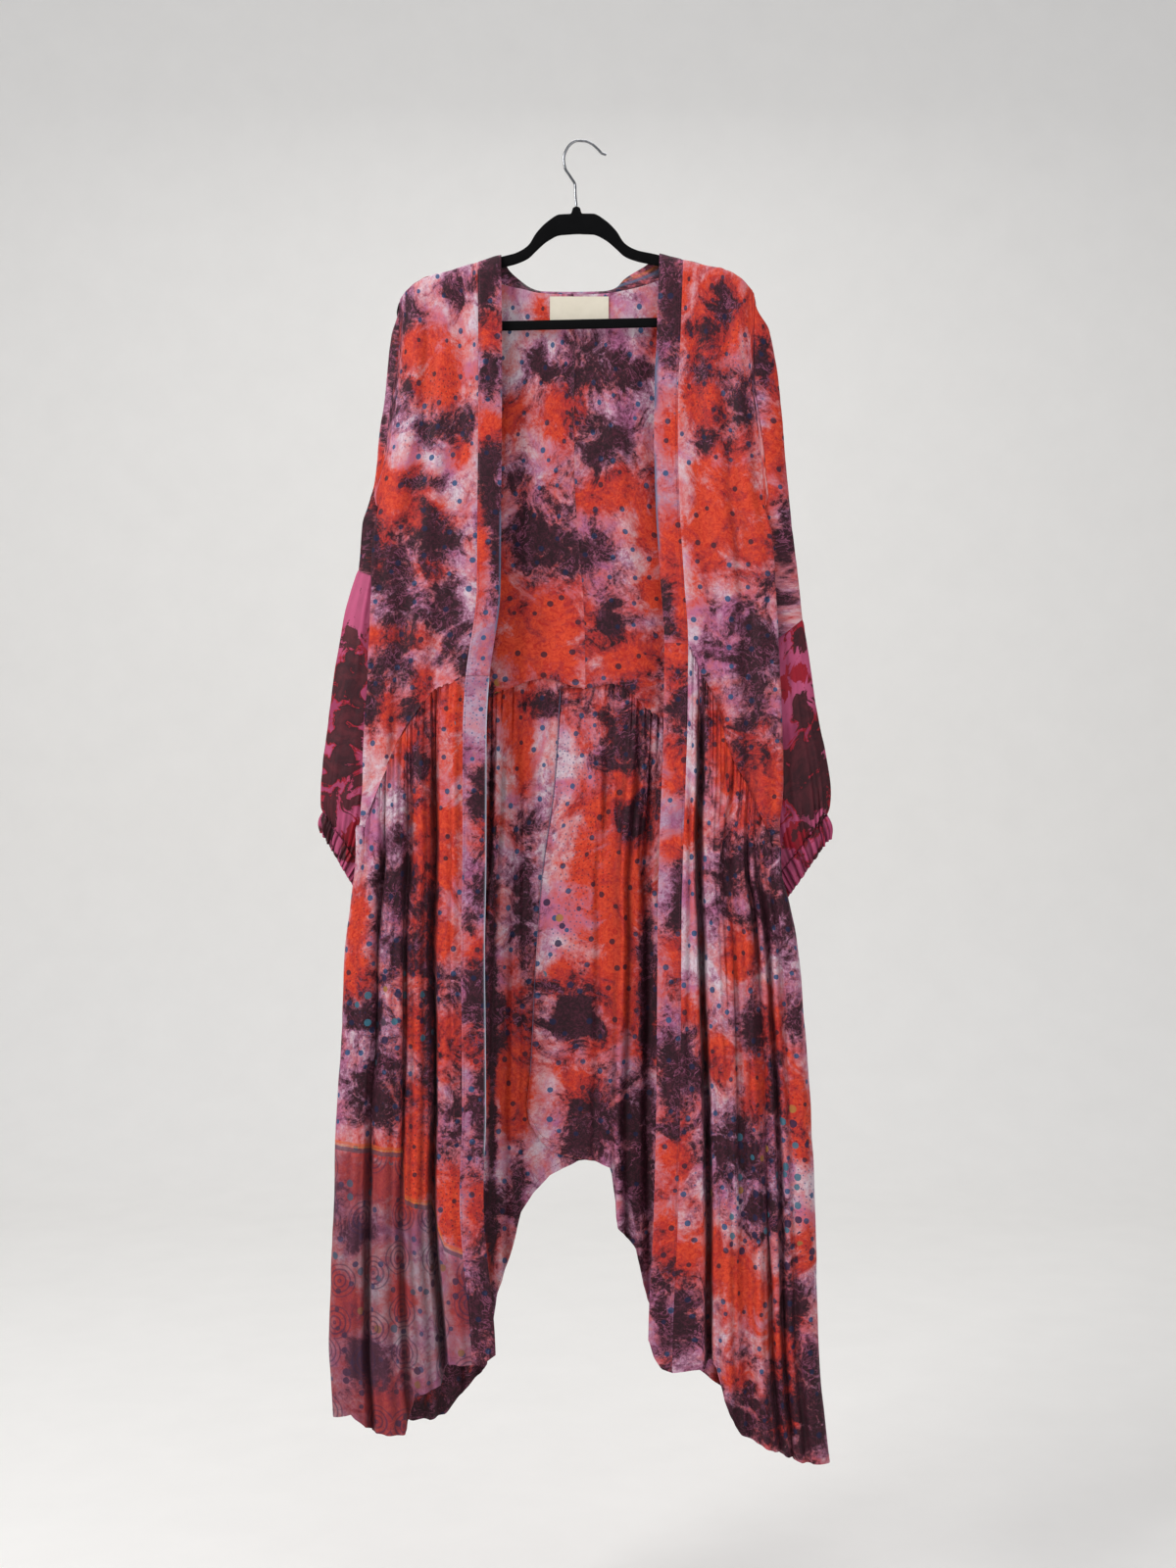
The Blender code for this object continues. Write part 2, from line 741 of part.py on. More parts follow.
def skirt_drops(top, hem):
    return top[:, None] + (hem - top)[:, None] * np.asarray(SKIRT_ROWS)[None, :]


def panel(body, lines, drops, top_of, bottom_of, folds, start, extra=None):
    """A body panel between two lines across it, as a grid of points in metres. `start` is the
    first guess of its top edge's drop, and `extra` is added to y."""
    width_lines = np.clip(lines, 0, 1)

    def out_at(drop, top, hem):
        moved_lines = np.where(lines <= 1, moved(width_lines, drop, folds, top, hem), lines)
        return body.outline(moved_lines, drop)[0]

    guess = np.full(len(lines), start)
    top = settled(guess, lambda drop: top_of(out_at(drop, drop, drop + 100), lines, drop))
    hem = settled(guess + FIRST_LENGTH, lambda drop: bottom_of(out_at(drop, top, drop), lines, drop))
    drop = drops(top, hem)
    tops, hems = top[:, None], hem[:, None]
    along = moved(width_lines[:, None], drop, folds, tops, hems)
    t = np.where(lines[:, None] <= 1, along, lines[:, None])
    out, y = body.outline(t, drop)
    span = body.edge(drop) - body.inner(drop)
    grow = ease((drop - tops) / FOLD_GROWTH)
    depth = folds_at(t, drop, folds, tops, hems, span) * grow * (t <= 1)
    y = y + body.inwards * depth
    if extra is not None:
        y = y + extra(t, out, drop, tops)
    x = body.side * out
    y = body.rolled(out, y, drop, shoulder_drop(x))
    return world(body.side, out, drop, y)


def gathers(count_lines):
    """Small alternate ridges under a gathered seam that fade into the panel below it."""
    sign = np.where(np.arange(count_lines) % 2 == 0, 1.0, -1.0)[:, None]

    def depth(t, out, drop, top):
        ends = ease(t / 0.06) * ease((1 - t) / 0.06)
        return sign * GATHER_DEPTH * ends * np.exp(-(drop - top) / GATHER_REACH)

    return depth


def lapped(count_lines, away, flat_to):
    """The offset of a back skirt piece where the two lap, with no gathers there."""
    gathered = gathers(count_lines)

    def depth(t, out, drop, top):
        free = ease((out - flat_to) / LAP_FADE)
        return away * (1 - free) + free * gathered(t, out, drop, top)

    return depth


def on_width(out, lines):
    """out of each line, with the side fold and the return read at the outer edge."""
    return np.where(lines > 1, out[int(np.argmax(lines >= 1))], out)


def waist_front(side):
    rows = WAIST_FRONT_LEFT if side < 0 else WAIST_FRONT_RIGHT
    return lambda out, lines, drop: column(rows, 1, on_width(out, lines))


def waist_back(side):
    return lambda out, lines, drop: column(WAIST_BACK, 1, side * on_width(out, lines))


def under_bodice(side, bodice):
    """The top of a skirt piece: a seam gap under the lower edge of its bodice."""
    lower = bodice[: BODICE_CELLS + 1, -1]
    rows = sorted(zip(side * lower[:, 0] / MM, -lower[:, 2] / MM + WAIST_GAP))
    return lambda out, lines, drop: straight(rows, 1, on_width(out, lines))


def front_top(side):
    return lambda out, lines, drop: shoulder_drop(side * out)


def hem_of(rows):
    return lambda out, lines, drop: straight(rows, 1, out)


def front_bodice(side):
    body = front_body(side)
    lines = body_lines(stations(BODICE_CELLS, FOLDS_BODICE))
    top = front_top(side)
    return panel(body, lines, bodice_drops, top, waist_front(side), FOLDS_BODICE, FIRST_TOP)


def back_top(side):
    def top(out, lines, drop):
        x = side * out
        shoulder = shoulder_drop(x)
        neck = column(NECKLINE, 1, x)
        inside = (x > NECKLINE[0][0]) & (x < NECKLINE[-1][0])
        return np.where(inside, np.maximum(shoulder, neck), shoulder)

    return top


def back_bodice(side):
    body = bodice_back(side)
    lines = body_lines(stations(BODICE_CELLS, FOLDS_BODICE))
    top = back_top(side)
    return panel(body, lines, bodice_drops, top, waist_back(side), FOLDS_BODICE, FIRST_TOP)


def parted(bodice):
    """A bodice panel in two at the underarm, so that each is a simple form. The lower one starts
    just below the upper one."""
    row = len(SHOULDER_ROWS) - 1
    lower = bodice[:, row:].copy()
    way = lower[:, 1] - lower[:, 0]
    lengths = np.linalg.norm(way, axis=-1, keepdims=True)
    lower[:, 0] += way / lengths * SEAM_GAP * SLANT * MM
    return bodice[:, : row + 1], lower


def front_skirt(side, bodice):
    body = front_body(side)
    folds = FOLDS_FRONT_LEFT if side < 0 else FOLDS_FRONT_RIGHT
    hem_rows = HEM_FRONT_LEFT if side < 0 else HEM_FRONT_RIGHT
    lines = body_lines(stations(FRONT_SKIRT_CELLS, folds))
    top = under_bodice(side, bodice)
    extra = gathers(len(lines))
    return panel(body, lines, skirt_drops, top, hem_of(hem_rows), folds, FIRST_WAIST, extra)


def back_skirt(side, bodice):
    lap = LAP_LEFT if side < 0 else LAP_RIGHT
    body = back_body(side, lambda drop: side * column(lap, 1, drop))
    folds = FOLDS_BACK_LEFT if side < 0 else FOLDS_BACK_RIGHT
    hem_rows = HEM_BACK_LEFT if side < 0 else HEM_BACK_RIGHT
    lines = body_lines(stations(BACK_SKIRT_CELLS, folds))
    top = under_bodice(side, bodice)
    away, flat_to = LAP_BEHIND if side < 0 else LAP_BEFORE
    extra = lapped(len(lines), away, flat_to)
    return panel(body, lines, skirt_drops, top, hem_of(hem_rows), folds, FIRST_WAIST, extra)


def band(side, rows, top_of=None, bottom_of=None):
    """A stretch of the band along the front edge. Its rows are those of the panel that it is sewn
    to, and near an end that isn't level they turn to follow that end."""
    body = front_body(side)
    across = np.array([0.0, 0.16, 0.6, 1.0])[:, None]
    width = BAND_WIDTH - SEAM_GAP * SLANT
    out = body.inner(rows) - BAND_WIDTH + width * across
    drop = rows + 0 * across
    if top_of is not None:
        drop = drop + (top_of(out[:, :1]) - rows[0]) * np.exp((rows[0] - rows) / BAND_END_REACH)
    if bottom_of is not None:
        drop = drop + (bottom_of(out[:, -1:]) - rows[-1]) * np.exp((rows - rows[-1]) / BAND_END_REACH)
    y = body.face(rows) + BAND_ROLL * (1 - across) ** 4
    y = body.rolled(out, y, drop, shoulder_drop(side * out))
    return world(side, out, drop, y)


def front_band(side, bodice):
    """From the shoulder to the seam at the waist, where the band is pieced."""
    return band(side, -bodice[0, :, 2] / MM, top_of=lambda out: shoulder_drop(side * out))


def skirt_band(side, skirt):
    """From the seam at the waist to the hem."""
    hem_rows = HEM_FRONT_LEFT if side < 0 else HEM_FRONT_RIGHT
    return band(side, -skirt[0, :, 2] / MM, bottom_of=lambda out: straight(hem_rows, 1, out))


def upper_sleeve(side, bodice):
    """The upper sleeve: open to the armhole above, and closed to a flat tube under the arm."""
    left = side < 0
    silhouette = SLEEVE_SILHOUETTE_LEFT if left else SLEEVE_SILHOUETTE_RIGHT
    seam_drop, seam_slope = SLEEVE_SEAM_LEFT if left else SLEEVE_SEAM_RIGHT
    s = np.linspace(0, 1, SLEEVE_CELLS + 1)[:, None]
    share = (1 - np.cos(2 * math.pi * s)) / 2
    ends = UNDERARM[-1][2 if left else 3]
    outer = column(silhouette, 1, seam_drop)
    bottom = seam_drop + seam_slope * (outer - ends) * (1 - share)
    armhole_drops = -bodice[-1, 2 : len(SHOULDER_ROWS), 2] / MM
    above = armhole_drops[None, :] + 0 * s
    below = UNDERARM_DROP + (bottom - UNDERARM_DROP) * np.asarray(UNDERARM_ROWS)[None, :]
    drop = np.concatenate([above, below], axis=1)
    closed = straight(UNDERARM, 1, drop)
    under = straight(UNDERARM, 2 if left else 3, drop)
    armhole = np.minimum(drop, UNDERARM_DROP)
    reach = column(silhouette, 1, drop)
    edges, depths = [], []
    for body in (front_body(side), bodice_back(side)):
        out, y = body.outline(np.full(drop.shape, 3.0), armhole)
        depths.append(body.rolled(out, y, armhole, shoulder_drop(side * out)))
        edges.append(np.where(drop <= UNDERARM_DROP, out, under) + SEAM_GAP * SLANT)
    open_out = edges[0] + (edges[1] - edges[0]) * s
    open_out = open_out + (reach - (edges[0] + edges[1]) / 2) * np.sin(math.pi * s)
    open_y = depths[0] + (depths[1] - depths[0]) * (1 - np.cos(math.pi * s)) / 2
    tube_out = under + (reach - under) * share
    tube_y = -SLEEVE_DEPTH * np.sin(2 * math.pi * s) - SEAM_GAP * SLANT * (1 - 2 * s)
    out = open_out + closed * (tube_out - open_out)
    y = open_y + closed * (tube_y - open_y)
    return world(side, out, drop, y)


def tube(side, rows, count, levels, ridge):
    """A flattened tube through rings. Each ring runs from its inner end round its front to its
    outer end and back. `ridge` is how far every second line stands out at each level."""
    s = np.arange(count)[:, None] / count
    level = np.asarray(levels)[None, :]
    numbered = [(float(i), *row) for i, row in enumerate(rows)]
    at = level * (len(rows) - 1)
    outer_out, outer_drop, inner_out, inner_drop, depth = (
        column(numbered, k, at) for k in range(1, 6)
    )
    share = (1 - np.cos(2 * math.pi * s)) / 2
    sign = np.where(np.arange(count) % 2 == 0, 1.0, -1.0)[:, None]
    stand = sign * np.asarray(ridge)[None, :]
    out = inner_out + (outer_out - inner_out) * share - stand * np.cos(2 * math.pi * s)
    drop = inner_drop + (outer_drop - inner_drop) * share
    y = -(depth + stand) * np.sin(2 * math.pi * s)
    return world(side, out, drop, y)


def lower_sleeve(side):
    rows = LOWER_SLEEVE_LEFT if side < 0 else LOWER_SLEEVE_RIGHT
    levels = np.linspace(0, 1, LOWER_SLEEVE_ROWS + 1)
    ridge = CUFF_GATHER_DEPTH * ease((levels - 0.55) / 0.35)
    return tube(side, rows, LOWER_SLEEVE_CELLS, levels, ridge)


def cuff(side):
    rows = CUFF_LEFT if side < 0 else CUFF_RIGHT
    levels = np.linspace(0, 1, CUFF_ROWS + 1)
    return tube(side, rows, LOWER_SLEEVE_CELLS, levels, np.full(len(levels), CUFF_RUCHE))


def back_neck_band(left_bodice, right_bodice):
    """The band round the back of the neck, through its seam, its crest and its free edge."""
    upper = np.concatenate([left_bodice[: BODICE_CELLS + 1, 0], right_bodice[: BODICE_CELLS + 1, 0]])
    upper = upper[np.argsort(upper[:, 0])] / MM
    rows = [((x, *on_seam(upper, x)), crest, edge) for x, crest, edge in NECK_BAND_ROWS]
    rows = shoulder_end(-1) + rows + shoulder_end(1)[::-1]
    columns = np.array(rows)
    numbers = np.arange(len(columns), dtype=float)
    fine = np.linspace(0, len(columns) - 1, NECK_BAND_CELLS + 1)
    widths = np.linspace(0, 1, 5)
    grid = np.zeros((len(fine), len(widths), 3))
    for k in range(3):
        lines = [
            column(list(zip(numbers, columns[:, part, k])), 1, fine) for part in range(3)
        ]
        if k > 0:
            seam = on_seam(upper, grid[:, 0, 0])[k - 1]
            inside = (fine >= 2) & (fine <= len(columns) - 3)
            lines[0] = np.where(inside, seam, np.minimum(lines[0], seam) if k == 1 else lines[0])
        for j, w in enumerate(widths):
            seam_w, crest_w, edge_w = (1 - w) * (1 - 2 * w), 4 * w * (1 - w), w * (2 * w - 1)
            grid[:, j, k] = seam_w * lines[0] + crest_w * lines[1] + edge_w * lines[2]
    return world(1, grid[..., 0], grid[..., 1], grid[..., 2])


def on_seam(upper, x):
    """drop and y of the back neck seam, just above the upper edge of the back bodice."""
    drop = -np.interp(x, upper[:, 0], upper[:, 2]) - NECK_SEAM_LIFT
    return drop, np.interp(x, upper[:, 0], upper[:, 1])


def shoulder_end(side):
    """The end of the back neck band on the arm of the hanger, against the front band: one row
    on top of the arm and one just behind it."""
    seam_out = float(front_body(side).inner(SHOULDER_END_DROP))
    rows = []
    for y, lower in ((SHOULDER_START, 0.0), (BEHIND_ARM, BEHIND_ARM_DROP)):
        outs = (seam_out, seam_out - BAND_WIDTH / 2, seam_out - BAND_WIDTH)
        rows.append(tuple((side * out, float(shoulder_drop(side * out)) + lower, y) for out in outs))
    return rows


def neck_label():
    x = np.linspace(*LABEL_X, 5)[:, None] + np.zeros((1, 4))
    drop = np.linspace(*LABEL_DROP, 4)[None, :] + 0 * x
    stand = WALL / 2 + LABEL_STAND + LABEL_WALL / 2
    y = bodice_back(1).face(drop) - stand
    return world(1, x, drop, y)


def hanger_frame(black_velvet):
    """The arms, the tips and the bar as one closed loop of sections with rounded edges."""
    rights = [(out, top, out, bottom) for out, top, bottom in ARM_ROWS] + TIP_ROWS
    bar_bottom = BAR_TOP + BAR_HEIGHT
    bar = [(BAR_REACH * share, bar_bottom, BAR_REACH * share, BAR_TOP) for share in (1.0, 0.5, 0.0)]
    half = rights + bar
    loop = [(1, *row) for row in half] + [(-1, *row) for row in reversed(half[1:-1])]
    vertices, faces = [], []
    section = [(0.0, -0.5), (0.0, 0.5), (0.13, 1.0), (0.87, 1.0), (1.0, 0.5), (1.0, -0.5)]
    section += [(0.87, -1.0), (0.13, -1.0)]
    for side, outer_out, outer_drop, inner_out, inner_drop in loop:
        for across, thick in section:
            out = outer_out + (inner_out - outer_out) * across
            drop = outer_drop + (inner_drop - outer_drop) * across
            x = HANGER_X + side * out
            drop = drop - HANGER_TILT * side * out
            vertices.append((x * MM, thick * HANGER_THICKNESS / 2 * MM, -drop * MM))
    sides = len(section)
    for i in range(len(loop)):
        j = (i + 1) % len(loop)
        for k in range(sides):
            m = (k + 1) % sides
            faces.append((i * sides + k, i * sides + m, j * sides + m, j * sides + k))
    return solid("hanger_frame", vertices, faces, black_velvet)


def hanger_hook(chrome):
    """The wire hook: a smooth open curve from the hanger's neck over the top to its tip."""
    route = np.array(HOOK_ROUTE)
    places = np.arange(len(route), dtype=float)
    fine = np.linspace(0, len(route) - 1, HOOK_POINTS)
    x = column(list(zip(places, route[:, 0])), 1, fine)
    drop = column(list(zip(places, route[:, 1])), 1, fine)
    curve = bpy.data.curves.new("hanger_hook", "CURVE")
    curve.dimensions = "3D"
    curve.bevel_depth = HOOK_WIRE / 2 * MM
    curve.bevel_resolution = 2
    curve.use_fill_caps = True
    spline = curve.splines.new("POLY")
    spline.points.add(len(fine) - 1)
    for point, px, pd in zip(spline.points, x, drop):
        point.co = (px * MM, 0.0, -pd * MM, 1.0)
    spline.use_smooth = True
    curve.materials.append(chrome)
    made = bpy.data.objects.new("hanger_hook", curve)
    bpy.context.scene.collection.objects.link(made)
    return made


def main():
    for old in list(bpy.data.objects):
        bpy.data.objects.remove(old, do_unlink=True)
    crepe = material("tie_dyed_crepe", (0.55, 0.10, 0.08), 0.55)
    orchid = material("orchid_crepe", (0.42, 0.08, 0.26), 0.55)
    plum = material("plum_band_crepe", (0.10, 0.04, 0.07), 0.6)
    cream = material("cream_label", (0.80, 0.77, 0.70), 0.7)
    black_velvet = material("black_velvet", (0.006, 0.006, 0.007), 0.95)
    chrome = material("chrome", (0.75, 0.76, 0.78), 0.15, 1.0)
    backs = []
    for side, name in ((-1, "left"), (1, "right")):
        front, back = front_bodice(side), back_bodice(side)
        skirt = front_skirt(side, front)
        backs.append(back)
        cloth(f"front_bodice_{name}", front, crepe, half=-1)
        shoulders, below = parted(back)
        cloth(f"back_bodice_{name}", shoulders, crepe, half=1)
        cloth(f"back_bodice_{name}_lower", below, crepe, half=1)
        cloth(f"front_skirt_{name}", skirt, crepe, half=-1)
        cloth(f"back_skirt_{name}", back_skirt(side, back), crepe, half=1)
        cloth(f"front_band_{name}", front_band(side, front), plum, BAND_WALL, half=-1)
        cloth(f"skirt_band_{name}", skirt_band(side, skirt), plum, BAND_WALL, half=-1)
        cloth(f"upper_sleeve_{name}", upper_sleeve(side, front), crepe)
        cloth(f"lower_sleeve_{name}", lower_sleeve(side), orchid, ring=True)
        cloth(f"cuff_{name}", cuff(side), orchid, CUFF_WALL, ring=True)
    cloth("back_neck_band", back_neck_band(*backs), plum, half=1)
    cloth("neck_label", neck_label(), cream, LABEL_WALL)
    hanger_frame(black_velvet)
    hanger_hook(chrome)


main()
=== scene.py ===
"""The looks of a long open-front kimono coat of thin tie-dyed crepe on a slim clothes hanger.

Every panel of the coat is a thin cloth shell on the form of its solid, from the same tables of the
garment's sizes, with finer gathers, creases, hems and stitches. Sizes are millimetres until a mesh
is made, which is in metres. x is to the viewer's right, y goes away from the viewer, and "drop" is
how far a point lies below the inner top of the hook. "out" is the distance from the middle line.
"""

import math

import bpy
import numpy as np
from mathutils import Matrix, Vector

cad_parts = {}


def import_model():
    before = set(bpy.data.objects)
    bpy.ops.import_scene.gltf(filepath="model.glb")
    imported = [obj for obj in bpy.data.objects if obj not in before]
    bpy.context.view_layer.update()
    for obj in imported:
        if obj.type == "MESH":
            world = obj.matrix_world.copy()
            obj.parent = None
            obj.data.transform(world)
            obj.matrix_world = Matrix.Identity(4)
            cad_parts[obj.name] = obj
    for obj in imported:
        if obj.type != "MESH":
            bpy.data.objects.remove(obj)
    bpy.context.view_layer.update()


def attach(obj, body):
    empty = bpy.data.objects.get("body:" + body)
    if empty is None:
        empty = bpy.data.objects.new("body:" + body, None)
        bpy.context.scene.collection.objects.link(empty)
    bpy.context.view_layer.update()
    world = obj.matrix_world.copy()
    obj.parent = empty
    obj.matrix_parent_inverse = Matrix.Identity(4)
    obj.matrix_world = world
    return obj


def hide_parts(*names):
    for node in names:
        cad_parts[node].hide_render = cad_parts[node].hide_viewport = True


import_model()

MM = 0.001

# Cloth
SHELL = 0.5
HEM_SHELL = 0.9
HEM_WIDTH = 9.0
BAND_SHELL = 0.9
LABEL_SHELL = 0.5
CUFF_SHELL = 0.8
BAND_ROLL = 2.5
BAND_END_REACH = 115.0
BEHIND_ARM = 4.6
BEHIND_ARM_DROP = 0.3
SHOULDER_START = 0.6
BAND_WIDTH = 28.0
SHOULDER_ROLL = 26.0
CLOTH_ON_ARM = 2.0
NECK_SEAM_LIFT = 0.3
LABEL_STAND = 1.9
SEAM_TUCK = 1.6
WAIST_GAP = 0.4
SEAM_GROOVE = 0.8
SEAM_GROOVE_WIDTH = 1.8

# Above the underarm a body panel has no side fold. Its width takes a share of the way to the
# armhole, and the lines of the fold and of the return take a step each. From a share of the way
# on, and over a length of it, the cloth turns in.
ARMHOLE_SHARE = 0.9
ARMHOLE_STEP = 0.05
ARMHOLE_BEND = 0.78
ARMHOLE_ROUND = 0.22
# The side fold starts at this drop and is full this far below it
SIDE_FOLD_DROP = 432.0
SIDE_FOLD_LENGTH = 44.0
# The large folds start at the top edge and have their full depth this far below it
FOLD_HEAD = 130.0
# Waves of the free lower edge
RIPPLE_WAVES = (47.0, 31.0, 19.0)

# Hanger
HANGER_X = -2.0
HANGER_TILT = 0.0227
HANGER_THICKNESS = 5.0
BAR_TOP = 213.5
BAR_HEIGHT = 11.5
BAR_REACH = 196.0
HOOK_WIRE = 3.2
HANGER_SECTION = 20
HANGER_SQUARENESS = 0.55

# The upper edge and the lower edge of one arm of the hanger, from its middle to its tip
ARM_ROWS = [
    # out, top, bottom
    (0, 77, 111),
    (4, 79, 111),
    (7, 86, 111.2),
    (20, 86.5, 112),
    (35, 95, 119),
    (48, 108, 130),
    (58, 123, 139),
    (72, 131.5, 145),
    (95, 137.2, 150.5),
    (121, 144.6, 157.5),
    (155, 154, 167),
    (182, 161, 174.5),
    (196, 169, 182),
    (207, 180, 190.5),
]
# The tip turns down and back to the bar: its outer edge and its inner edge
TIP_ROWS = [
    # outer out, outer drop, inner out, inner drop
    (214, 190.5, 205.5, 196.5),
    (216, 201, 206, 203),
    (212.5, 214, 203.5, 209.5),
    (205, 222.5, 200, 212.6),
]

# The front of the body: the inner edge of the band, the outer edge, the side seam, how far the
# cloth stands in front of the hanger, and half the thickness of the fold at the side.
FRONT_LEFT = [
    # drop, band, edge, seam, face, fold
    (138, 92.4, 214, 200, -12, 3.2),
    (245, 91, 214.6, 200, -14, 3.2),
    (312, 91, 223.5, 199, -16, 3.2),
    (366, 91.2, 230.5, 198, -18, 3.2),
    (429, 91.6, 244, 197, -20, 3.3),
    (538, 92.4, 246.8, 196, -22, 3.6),
    (655, 106.5, 251.5, 196, -23.5, 4),
    (714, 109, 255, 198, -25, 4.5),
    (803, 109, 258.6, 212, -27.5, 6),
    (866, 109, 262, 230, -29.5, 8),
    (906, 109.5, 268, 245, -31, 9.5),
    (966, 110.5, 276, 262, -32.5, 12),
    (1081, 109.4, 281, 268, -34, 14),
    (1164, 109, 287, 274, -35, 14),
    (1260, 112, 290, 277, -35.5, 14),
    (1443, 98, 296, 284, -36, 14),
    (1523, 96, 290.5, 279, -36, 14),
]
FRONT_RIGHT = [
    # drop, band, edge, seam, face, fold
    (138, 98, 213, 196, -12, 3.2),
    (245, 94, 211, 194, -14, 3.2),
    (287, 92, 212, 193, -15, 3.2),
    (358, 91, 221, 192, -17.5, 3.2),
    (429, 92.5, 228, 191, -20, 3.3),
    (538, 99, 236, 190, -22, 3.6),
    (602, 103, 239, 190, -23, 4),
    (700, 102, 243, 190, -25, 4.5),
    (763, 100, 244.5, 195, -26.5, 5.5),
    (840, 97, 240, 206, -28.5, 7.5),
    (880, 96, 242, 217, -30, 8),
    (909, 95, 250, 229, -31, 8.5),
    (957, 94.5, 260.6, 246, -32, 12),
    (1041, 94, 268, 255, -33.5, 14),
    (1149, 93, 275, 262, -35, 14),
    (1290, 90, 281, 268, -36, 14),
    (1431, 84, 284.5, 271, -36, 14),
    (1578, 82, 298, 284, -36, 14),
]

# The back of the body: its outer edge, how far it stands behind the hanger, half its side fold
BACK_LEFT = [
    # drop, edge, face, fold
    (138, 214, 11, 3.2),
    (245, 214.6, 14, 3.2),
    (312, 223.5, 15, 3.2),
    (366, 230.5, 16, 3.2),
    (429, 238, 18, 3.2),
    (538, 236, 20, 3.4),
    (714, 240, 21, 4),
    (803, 246, 22.5, 5),
    (906, 262, 25, 7),
    (966, 273, 28, 10),
    (1260, 287, 32, 13),
    (1523, 287.5, 34, 13),
]
BACK_RIGHT = [
    # drop, edge, face, fold
    (138, 213, 11, 3.2),
    (245, 211, 14, 3.2),
    (287, 212, 14.5, 3.2),
    (358, 221, 16, 3.2),
    (429, 227, 18, 3.2),
    (538, 228, 20, 3.4),
    (763, 234, 21.5, 4.5),
    (880, 236, 24, 6.5),
    (957, 256, 27, 10),
    (1149, 272, 31, 13),
    (1578, 295, 34, 13),
]

# The waist seam, which droops to the sides, and the hems
WAIST_FRONT_LEFT = [
    # out, drop
    (137, 643), (144, 649), (170, 661), (203, 703), (220, 735), (245, 800), (262, 850),
]
WAIST_FRONT_RIGHT = [
    # out, drop
    (131, 604), (146, 640), (161, 668), (183, 740), (201, 775), (224, 826), (245, 880),
]
WAIST_BACK = [
    # x, drop
    (-262, 850), (-200, 735), (-150, 690), (-97, 662), (-41, 644), (12, 657), (41, 652), (96, 690),
    (150, 715), (200, 770), (245, 870),
]
HEM_FRONT_LEFT = [
    # out, drop
    (97, 1448), (115, 1460), (155, 1459), (163, 1485), (194, 1497), (205, 1543), (244, 1540),
    (268, 1518), (290, 1523),
]
HEM_FRONT_RIGHT = [
    # out, drop
    (84, 1431), (90, 1451), (99, 1464), (112, 1469), (150, 1464), (162, 1456), (170, 1486),
    (178, 1514), (193, 1542), (234, 1563), (266, 1576), (298, 1578),
]
HEM_BACK_LEFT = [
    # out, drop
    (-14, 1230), (0, 1232), (35, 1250), (55, 1272), (70, 1295), (80, 1338), (98, 1390), (112, 1480),
    (139, 1513), (162, 1541), (201, 1549), (244, 1541), (290, 1523),
]
HEM_BACK_RIGHT = [
    # out, drop: the inner corner is rounded
    (-63, 1163), (-60, 1183), (-46, 1208), (-29, 1221), (-9, 1227), (20, 1232), (40, 1240),
    (48, 1312), (70, 1338), (84, 1400), (100, 1440), (140, 1480), (200, 1530), (250, 1560),
    (298, 1578),
]
NECKLINE = [
    # x, drop of the back neck seam
    (-120, 147.5), (-107, 158), (-95, 166.6), (-68, 173.5), (-42, 178.7), (-5, 180), (30, 179),
    (63, 173.6), (97, 163.4), (111, 153), (126, 141.5),
]

# The middle seam of the back, and the two free edges of the back skirt, which lap at the middle
CENTRE_BACK = [
    # drop, x
    (180, -4), (379, -4.7), (585, 8), (660, 9),
]
LAP_LEFT = [
    # drop, x of the free edge of the left piece, which lies behind
    (650, 22), (900, 18), (1235, 14),
]
LAP_RIGHT = [
    # drop, x of the free edge of the right piece
    (650, -21), (772, -29), (889, -44.5), (1006, -52.7), (1123, -58.5), (1163, -63),
]

# Where the two laps lie: how far one stands behind or before the other, and to what out
LAP_BEHIND = (2.3, 66.0)
LAP_BEFORE = (-2.3, 26.0)
LAP_FADE = 36.0

# Folds run down a panel. Their place is a share of the panel's width, at its top and at its hem.
# A positive depth goes in towards the hanger's plane, a negative one stands out from it.
FOLDS_FRONT_LEFT = [
    # top, hem, half_width, depth
    (0.10, 0.09, 10, -3),
    (0.31, 0.22, 8, 20),
    (0.45, 0.36, 9, -6),
    (0.56, 0.50, 8, 9),
    (0.68, 0.66, 12, -5),
    (0.81, 0.79, 8, 13),
    (0.92, 0.91, 8, -3),
]
FOLDS_FRONT_RIGHT = [
    # top, hem, half_width, depth
    (0.14, 0.28, 8, 22),
    (0.30, 0.42, 12, -5),
    (0.47, 0.55, 10, 5),
    (0.60, 0.66, 8, -5),
    (0.70, 0.75, 7, 10),
    (0.81, 0.84, 7, 11),
    (0.92, 0.93, 7, 5),
]
FOLDS_BACK_LEFT = [
    # top, hem, half_width, depth
    (0.38, 0.36, 9, -4),
    (0.46, 0.45, 10, 9),
    (0.56, 0.56, 12, -7),
    (0.67, 0.67, 10, 12),
    (0.79, 0.79, 12, -6),
    (0.90, 0.90, 9, 9),
]
FOLDS_BACK_RIGHT = [
    # top, hem, half_width, depth
    (0.25, 0.26, 9, -4),
    (0.36, 0.34, 10, 8),
    (0.47, 0.45, 10, -6),
    (0.58, 0.57, 11, 12),
    (0.70, 0.70, 12, -7),
    (0.81, 0.82, 10, 12),
    (0.92, 0.92, 9, -5),
]
FOLDS_BODICE = [
    # top, hem, half_width, depth
    (0.22, 0.30, 16, 1.6),
    (0.45, 0.52, 18, -2.2),
    (0.66, 0.70, 16, 2.4),
    (0.84, 0.86, 14, -2),
]

